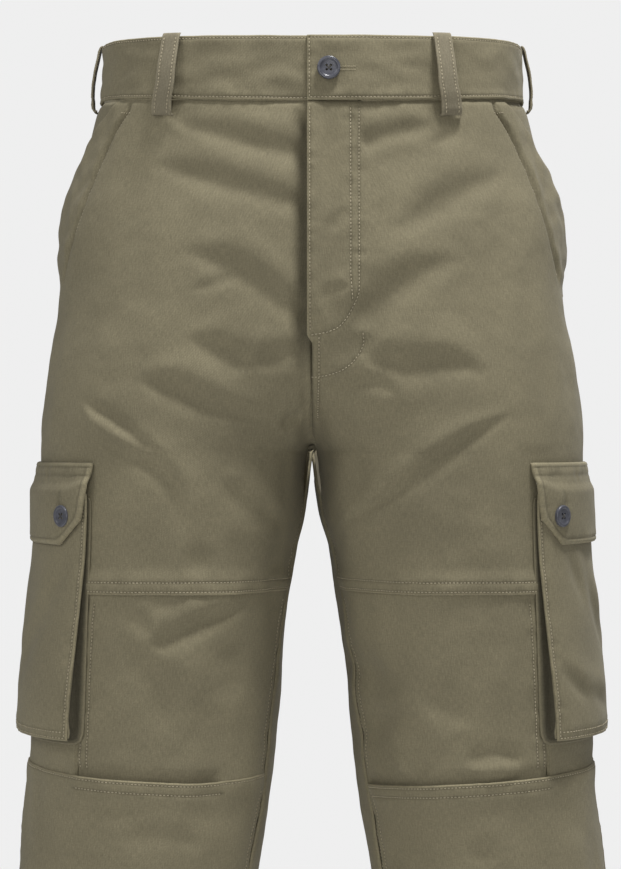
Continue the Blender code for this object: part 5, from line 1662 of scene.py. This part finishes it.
def cargo_flap(side):
    width = 2 * FLAP_HALF
    along_row = even_places(width, 0.0017) - FLAP_HALF
    shares = even_places(0.056, 0.0015) / 0.056
    bottom = flap_bottom(along_row)[None, :]
    levels = FLAP_TOP + shares[:, None] * (bottom - FLAP_TOP)
    along = rows_of(along_row, len(shares)).T
    side_edge = FLAP_HALF - np.abs(along)
    narrow = 1 - FLAP_TAPER * (FLAP_TOP - levels) / FLAP_HALF
    low = (levels - bottom) * np.where(side_edge < FLAP_CORNER, 0.70, 1.0)
    top = FLAP_TOP - levels
    edge = np.minimum(side_edge, low)
    turn = rolled(edge, 0.0016) + rolled(top, 0.0014)
    place = np.stack([along, levels, 0 * along], axis=-1)
    wave = 0.0010 * np.sin(along / 0.026 + side) * shares[:, None] ** 2
    soft = np.maximum(0.0006 * wander(place, 0.026, 4.0 * side) + wave, -0.0008)
    off = flap_off(shares)[:, None] + FLAP_WALL - turn + soft * ramp(shares, 0.3, 0.7)[:, None]
    wear = np.maximum(edge_wear_and_shade(edge - 0.0008), 0.6 * edge_wear_and_shade(top - 0.0006))
    inner = 0.0030
    corner = FLAP_HALF - FLAP_CORNER
    outline = [
        (FLAP_HALF - inner, FLAP_TOP - 0.003), (FLAP_HALF - inner, FLAP_CORNER_LEVEL + 0.0012),
        (corner - 0.0012, FLAP_BOTTOM + inner), (-corner + 0.0012, FLAP_BOTTOM + inner),
        (-FLAP_HALF + inner, FLAP_CORNER_LEVEL + 0.0012), (-FLAP_HALF + inner, FLAP_TOP - 0.003),
    ]
    rows = [path_row(outline)]
    for down in (0.0020, 0.0080):
        ends = (FLAP_HALF - 0.001, -FLAP_HALF + 0.001)
        rows.append(path_row([(end, FLAP_TOP - down) for end in ends]))
    hole = (FLAP_BUTTON_LEVEL + 0.0085, FLAP_BUTTON_LEVEL + 0.0170)
    for end in (FLAP_HALF - FLAP_BUTTON_IN, FLAP_BUTTON_IN - FLAP_HALF):
        for beside in (-0.0009, 0.0009):
            rows.append(path_row([(end + beside, level) for level in hole]))
    rows = [(row * (1 - FLAP_TAPER * (FLAP_TOP - at) / FLAP_HALF), at) for row, at in rows]
    name = f"cargo_flap_{side_name(side)}_cloth"
    return leg_cloth(name, side, along * narrow, levels, off, wear, FLAP_WALL, rows)


flaps = {side: cargo_flap(side) for side in (1, -1)}

# %% [markdown]
# ## Buttons and buttonholes
#
# The buttons are turned from a disc: a profile is spun round the axis into a raised rim
# round a shallow dish. Four holes are drilled through by cylinders that are then deleted, and
# two short threads cross in the middle. A buttonhole is closed while its button is done up,
# so only the dense rows of stitches on both sides of its slit are made.

# %% Buttons
ButtonSize = namedtuple("ButtonSize", "radius thick rim dish")
WAIST_BUTTON = ButtonSize(0.0082, 0.0032, 0.0017, 0.0009)
FLAP_BUTTON = ButtonSize(0.0078, 0.0030, 0.0016, 0.0008)
WAIST_BUTTON_X = 0.0116
BUTTON_HOLE = 0.0009
BUTTON_HOLE_RING = 0.0021


def facing_out(point, normal):
    """Matrix that stands a button on a point, looking along the normal."""
    turn = Vector(normal).to_track_quat("Z", "Y")
    return Matrix.Translation(Vector(point)) @ turn.to_matrix().to_4x4()


def arc(centre_r, centre_z, radius, start, end, steps=5):
    turns = np.radians(np.linspace(start, end, steps))
    return [(centre_r + radius * math.cos(t), centre_z + radius * math.sin(t)) for t in turns]


def make_button(name, size, place):
    """Spins the profile, drills the holes and puts the button in its place."""
    low, high = 0.0007, 0.0009
    dish = size.thick - size.dish
    outline = [(0.0, 0.0)] + arc(size.radius - low, low, low, -90, 0)
    outline += arc(size.radius - high, size.thick - high, high, 0, 90)
    outline += arc(size.radius - size.rim, size.thick - 0.0005, 0.0005, 90, 160, 4)
    outline += [(size.radius - size.rim - 0.0010, dish + 0.0001)]
    outline += [(size.radius - size.rim - 0.0018, dish)]
    outline += [(0.0, dish)]
    bm = bmesh.new()
    verts = [bm.verts.new((r, 0.0, z)) for r, z in outline]
    edges = [bm.edges.new(pair) for pair in zip(verts, verts[1:])]
    bmesh.ops.spin(
        bm, geom=verts + edges, cent=(0, 0, 0), axis=(0, 0, 1), angle=2 * math.pi, steps=48,
        use_merge=True,
    )
    bmesh.ops.remove_doubles(bm, verts=bm.verts, dist=1e-6)
    bmesh.ops.recalc_face_normals(bm, faces=bm.faces)
    button = add_object(name, mesh_of(bm, name))
    cutters = []
    for i in range(4):
        turn = math.pi / 4 + i * math.pi / 2
        bm = bmesh.new()
        spot = (math.cos(turn) * BUTTON_HOLE_RING, math.sin(turn) * BUTTON_HOLE_RING, 0.0)
        bmesh.ops.create_cone(
            bm, cap_ends=True, segments=16, radius1=BUTTON_HOLE, radius2=BUTTON_HOLE, depth=0.02,
            matrix=Matrix.Translation(spot),
        )
        cutter = add_object("drill", mesh_of(bm, "drill"))
        cut = button.modifiers.new("hole", "BOOLEAN")
        cut.operation = "DIFFERENCE"
        cut.object = cutter
        cutters.append(cutter)
    bpy.context.view_layer.update()
    drilled = button.evaluated_get(bpy.context.evaluated_depsgraph_get())
    made = bpy.data.meshes.new_from_object(drilled)
    button.modifiers.clear()
    button.data = made
    for cutter in cutters:
        bpy.data.objects.remove(cutter, do_unlink=True)
    made.transform(place)
    made.shade_smooth()
    made.set_sharp_from_angle(angle=math.radians(40))
    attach(button, "root")
    return button


def button_thread(place, size):
    """Two crossed bars of thread in the button's dish, with the knot's shank below."""
    part = bmesh.new()
    high = size.thick - size.dish
    for turn in (math.pi / 4, -math.pi / 4):
        for shift in (-0.00035, 0.0, 0.00035):
            away = Vector((-math.sin(turn) * shift, math.cos(turn) * shift, high + 0.00008))
            lie = Matrix.Rotation(turn, 4, "Z") @ Matrix.Rotation(math.pi / 2, 4, "Y")
            shape = Matrix.Diagonal((0.00024, 0.00022, BUTTON_HOLE_RING, 1.0))
            matrix = place @ Matrix.Translation(away) @ lie @ shape
            bmesh.ops.create_uvsphere(part, u_segments=8, v_segments=6, radius=1.0, matrix=matrix)
    shank = place @ Matrix.Diagonal((0.0022, 0.0022, 0.0012, 1.0))
    bmesh.ops.create_uvsphere(part, u_segments=12, v_segments=8, radius=1.0, matrix=shank)
    pour(part, thread_mesh.setdefault("buttons", bmesh.new()))


def waist_place():
    share = WAIST_BUTTON_X / outer_at(0.0)
    angle = np.array([math.acos(share ** (power_at(0.0) / 2))])
    level = np.array([0.0])
    normal = outward(angle, level)[0]
    point = skin(angle, level)[0] + normal * (BAND_OUT + BAND_LAP + GAP)
    return facing_out(point, normal)


def flap_place(side, end):
    along = np.array([end * (FLAP_HALF - FLAP_BUTTON_IN)])
    level = np.array([FLAP_BUTTON_LEVEL])
    angle = leg_angle(along, level)
    normal = outward(angle, level)[0]
    seat = skin(angle, level)[0] + normal * (FLAP_ROWS[4].off + FLAP_WALL + GAP)
    return facing_out(mirrored(side, seat), mirrored(side, normal))


buttons = {"waist_button": make_button("waist_button_turned", WAIST_BUTTON, waist_place())}
button_thread(waist_place(), WAIST_BUTTON)
for side in (1, -1):
    for end, where in ((1, "front"), (-1, "back")):
        node = f"flap_button_{where}_{side_name(side)}"
        place = flap_place(side, end)
        buttons[node] = make_button(node + "_turned", FLAP_BUTTON, place)
        button_thread(place, FLAP_BUTTON)
print("buttons:", len(buttons))


# %% Waist buttonhole
for z in (0.0011, -0.0011):
    sew("band", bands[1], 1, seen_row([(0.0060, z), (0.0305, z)]), 0.0008, 0.9)


# %% Threads
def thread_piece(area):
    """The finished stitches of one area as a piece."""
    name = f"thread_{area}"
    mesh = mesh_of(thread_mesh[area], name)
    mesh.shade_smooth()
    piece = add_object(name, mesh)
    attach(piece, "root")
    return piece


threads = {area: thread_piece(area) for area in list(thread_mesh)}
print("stitches:", sum(stitch_count.values()), stitch_count)


# %% [markdown]
# ## Cloth and button finishes
#
# Cotton twill is matte. Its colour comes from yarns of slightly different shades: streaks
# along the cloth, fine diagonal ribs, and broad soft patches from washing. Folded edges are
# rubbed lighter, and seams, stitch grooves, hollows and the pocket pleats are darkened with
# painted shade. All of it is read from the UV map in metres, so a rib is as wide on a belt
# loop as on a leg. The bump stays small, because the ribs of worn twill are shallow.

# %% Node helpers
def new_look(name):
    look = bpy.data.materials.new(name)
    look.use_nodes = True
    nodes = look.node_tree.nodes
    return look, nodes, look.node_tree.links, nodes["Principled BSDF"]


def set_inputs(node, **values):
    """Sets a node's inputs; From_Min stands for From Min."""
    for name, value in values.items():
        node.inputs[name.replace("_", " ")].default_value = value


def scaled_coords(look, source, scale, turn=0.0):
    """Texture coordinates in metres, multiplied so that one pattern step is a known size."""
    nodes, links = look.node_tree.nodes, look.node_tree.links
    mapping = nodes.new("ShaderNodeMapping")
    set_inputs(mapping, Scale=scale, Rotation=(0.0, 0.0, turn))
    links.new(source, mapping.inputs["Vector"])
    return mapping.outputs["Vector"]


def noise_on(look, coords, detail):
    nodes, links = look.node_tree.nodes, look.node_tree.links
    texture = nodes.new("ShaderNodeTexNoise")
    set_inputs(texture, Scale=1.0, Detail=detail)
    links.new(coords, texture.inputs["Vector"])
    return texture.outputs["Fac"]


def spread(look, source, low, high):
    """Maps 0.3-0.7, where noise mostly lies, onto low-high."""
    nodes, links = look.node_tree.nodes, look.node_tree.links
    node = nodes.new("ShaderNodeMapRange")
    set_inputs(node, From_Min=0.3, From_Max=0.7, To_Min=low, To_Max=high)
    links.new(source, node.inputs["Value"])
    return node.outputs["Result"]


def combined(look, operation, first, second):
    """Two sockets or numbers put through a math node."""
    nodes, links = look.node_tree.nodes, look.node_tree.links
    node = nodes.new("ShaderNodeMath")
    node.operation = operation
    for source, socket in ((first, node.inputs[0]), (second, node.inputs[1])):
        if isinstance(source, (int, float)):
            socket.default_value = source
        else:
            links.new(source, socket)
    return node.outputs["Value"]


def multiplied(look, first, second):
    return combined(look, "MULTIPLY", first, second)


def added(look, first, second):
    return combined(look, "ADD", first, second)


def speckle(look, source, scale, detail, low, high):
    """Noise from low to high, with about that many patches a metre."""
    return spread(look, noise_on(look, scaled_coords(look, source, scale), detail), low, high)


def toned_by(look, tone, name, amount):
    """The tone, changed by a share of itself where the piece's attribute is 1."""
    node = look.node_tree.nodes.new("ShaderNodeAttribute")
    node.attribute_name = name
    return multiplied(look, tone, added(look, multiplied(look, node.outputs["Fac"], amount), 1.0))


def tint_base(look, shader, colour, tone):
    """Sets the base colour to a colour times a tone."""
    tint = look.node_tree.nodes.new("ShaderNodeVectorMath")
    tint.operation = "SCALE"
    tint.inputs[0].default_value = colour
    look.node_tree.links.new(tone, tint.inputs["Scale"])
    look.node_tree.links.new(tint.outputs["Vector"], shader.inputs["Base Color"])


# %% Twill
TWILL = (0.205, 0.180, 0.112)
RIB = 0.0009                    # distance between twill ribs
RUBBED = 0.22                   # how much lighter a rubbed edge is
PAINTED_SHADE = -0.26                 # painted shade: how much darker seams, grooves and hollows are made


def twill_look(name, colour, ribs=1.0):
    look, nodes, links, shader = new_look(name)
    uv = nodes.new("ShaderNodeUVMap")
    uv.uv_map = "cloth"
    flat = uv.outputs["UV"]
    solid = nodes.new("ShaderNodeTexCoord").outputs["Object"]
    patches = speckle(look, solid, (22, 22, 22), 3.0, 0.92, 1.08)
    warp = speckle(look, flat, (1300, 190, 1), 1.0, 0.89, 1.11)
    weft = speckle(look, flat, (260, 1100, 1), 1.0, 0.95, 1.05)
    slub = speckle(look, flat, (850, 850, 1), 1.0, 0.93, 1.07)
    rib = nodes.new("ShaderNodeTexWave")
    rib.wave_type = "BANDS"
    rib.bands_direction = "X"
    set_inputs(rib, Scale=1.0, Distortion=0.6, Detail=1.0, Detail_Scale=0.3)
    turn = math.radians(-28)
    step = math.pi / 10 / RIB   # a wave of scale 1 repeats every pi / 10
    links.new(scaled_coords(look, flat, (step, step, 1), turn), rib.inputs["Vector"])
    ridge = rib.outputs["Fac"]
    tone = multiplied(look, patches, multiplied(look, warp, multiplied(look, weft, slub)))
    tone = multiplied(look, tone, added(look, multiplied(look, ridge, 0.05 * ribs), 0.975))
    tone = toned_by(look, tone, "wear", RUBBED)
    # painted shade: seams, stitch grooves, hollows and the pocket pleats are darkened through the
    # sunk attribute
    tone = toned_by(look, tone, "sunk", PAINTED_SHADE)
    tint_base(look, shader, colour, tone)
    rough = speckle(look, flat, (700, 700, 1), 1.0, 0.80, 0.92)
    links.new(rough, shader.inputs["Roughness"])
    set_inputs(shader, Sheen_Weight=0.04, Sheen_Roughness=0.5, IOR=1.42)
    relief = added(look, multiplied(look, ridge, 0.4 * ribs), multiplied(look, warp, 1.0))
    relief = added(look, relief, multiplied(look, slub, 0.8))
    bump = nodes.new("ShaderNodeBump")
    set_inputs(bump, Strength=0.8, Distance=0.00022)
    links.new(relief, bump.inputs["Height"])
    links.new(bump.outputs["Normal"], shader.inputs["Normal"])
    return look


def thread_look(name, colour):
    look, nodes, links, shader = new_look(name)
    solid = nodes.new("ShaderNodeTexCoord").outputs["Object"]
    shade = speckle(look, solid, (500, 500, 500), 1.0, 0.85, 1.15)
    tint_base(look, shader, colour, shade)
    shader.inputs["Roughness"].default_value = 0.65
    return look


def button_look(name):
    look, nodes, links, shader = new_look(name)
    solid = nodes.new("ShaderNodeTexCoord").outputs["Object"]
    cloud = noise_on(look, scaled_coords(look, solid, (260, 260, 260)), 3.0)
    shades = nodes.new("ShaderNodeValToRGB")
    dark, light = shades.color_ramp.elements
    dark.position, light.position = 0.32, 0.68
    dark.color = (0.052, 0.054, 0.068, 1.0)
    light.color = (0.092, 0.094, 0.114, 1.0)
    links.new(cloud, shades.inputs["Fac"])
    links.new(shades.outputs["Color"], shader.inputs["Base Color"])
    links.new(spread(look, cloud, 0.28, 0.42), shader.inputs["Roughness"])
    set_inputs(shader, Coat_Weight=0.25, Coat_Roughness=0.2)
    return look


twill = twill_look("twill", TWILL)
twill_tape = twill_look("twill_tape", (0.196, 0.172, 0.116))
thread = thread_look("thread", (0.440, 0.385, 0.265))
dark_thread = thread_look("dark_thread", (0.060, 0.056, 0.050))
slate = button_look("slate_button")

# %% [markdown]
# ## Dressing the solids
#
# Each piece takes a material slot, and the solid it stands for is hidden; the cloth's areas are
# added up. The stitches are added, so they stand for no solid.

# %% Pieces and their solids
cut_total = 0.0


def dress(cloth, node, look):
    """Gives one piece of cloth its material, hides its solid and adds its area to the total."""
    global cut_total
    cloth.piece.data.materials.append(look)
    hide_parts(node)
    area = float(cloth.area)
    cut_total += area


for side in (1, -1):
    word = side_name(side)
    band = f"waistband_{word}"
    dress(uppers[side], f"front_upper_{word}", twill)
    dress(backs[side], f"back_{word}", twill)
    dress(facings[side], f"hip_facing_{word}", twill)
    dress(knees[side], f"knee_panel_{word}", twill)
    dress(sides[side], f"side_panel_{word}", twill)
    dress(lowers[side], f"front_lower_{word}", twill)
    dress(bands[side], band, twill)
    dress(gussets[side], f"cargo_gusset_{word}", twill)
    dress(faces[side], f"cargo_face_{word}", twill)
    dress(flaps[side], f"cargo_flap_{word}", twill)
for loop in LOOPS:
    dress(loops[loop.name], f"belt_loop_{loop.name}", twill_tape)
for node, button in buttons.items():
    button.data.materials.append(slate)
    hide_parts(node)
for area, piece in threads.items():
    piece.data.materials.append(dark_thread if area == "buttons" else thread)
print("cloth in all, m2:", round(cut_total, 3))

# %% [markdown]
# ## Floor and light
#
# A pale floor lies under the hems. The main light hangs overhead, a little in front and to
# the right, because light that falls along the cloth shows its folds. Two weak panels, one in
# front and one high at the left, and a pale surround fill the shadows, and a light behind
# keeps the back readable. The camera sees the surround brighter than the cloth does, so the
# background is pale and the folds keep their contrast.

# %% Stage
def disc(name, radius, height):
    bm = bmesh.new()
    bmesh.ops.create_circle(bm, cap_ends=True, segments=96, radius=radius)
    bmesh.ops.translate(bm, vec=(0, 0, height), verts=bm.verts)
    return add_object(name, mesh_of(bm, name))


floor = disc("floor", 1.5, HEM - 0.004)
pale, nodes, links, shader = new_look("pale_floor")
set_inputs(shader, Base_Color=(0.82, 0.82, 0.82, 1.0), Roughness=0.9)
floor.data.materials.append(pale)


def area_light(name, place, target, size, power):
    light = bpy.data.lights.new(name, "AREA")
    light.shape = "SQUARE"
    light.size = size
    light.energy = power
    item = add_object(name, light)
    item.location = place
    aim = Vector(target) - Vector(place)
    item.rotation_euler = aim.to_track_quat("-Z", "Y").to_euler()
    return item


area_light("key", (0.52, -0.52, 2.00), (0, 0, -0.30), 0.5, 66)
area_light("fill", (-0.3, -2.6, -0.1), (0, 0, -0.40), 1.0, 11)
area_light("side", (-1.7, -1.2, 1.2), (0, 0, -0.30), 0.8, 12)
area_light("back", (0.6, 2.4, 0.8), (0, 0, -0.4), 1.6, 30)

world = bpy.data.worlds.new("surround")
world.use_nodes = True
bpy.context.scene.world = world
nodes, links = world.node_tree.nodes, world.node_tree.links
nodes.clear()
out = nodes.new("ShaderNodeOutputWorld")
lit = nodes.new("ShaderNodeBackground")
seen = nodes.new("ShaderNodeBackground")
set_inputs(lit, Color=(1.0, 1.0, 1.0, 1.0), Strength=0.30)
set_inputs(seen, Color=(0.862, 0.862, 0.862, 1.0), Strength=1.0)
path = nodes.new("ShaderNodeLightPath")
mix = nodes.new("ShaderNodeMixShader")
links.new(path.outputs["Is Camera Ray"], mix.inputs["Fac"])
links.new(lit.outputs["Background"], mix.inputs[1])
links.new(seen.outputs["Background"], mix.inputs[2])
links.new(mix.outputs["Shader"], out.inputs["Surface"])
bpy.context.scene.view_settings.view_transform = "Standard"
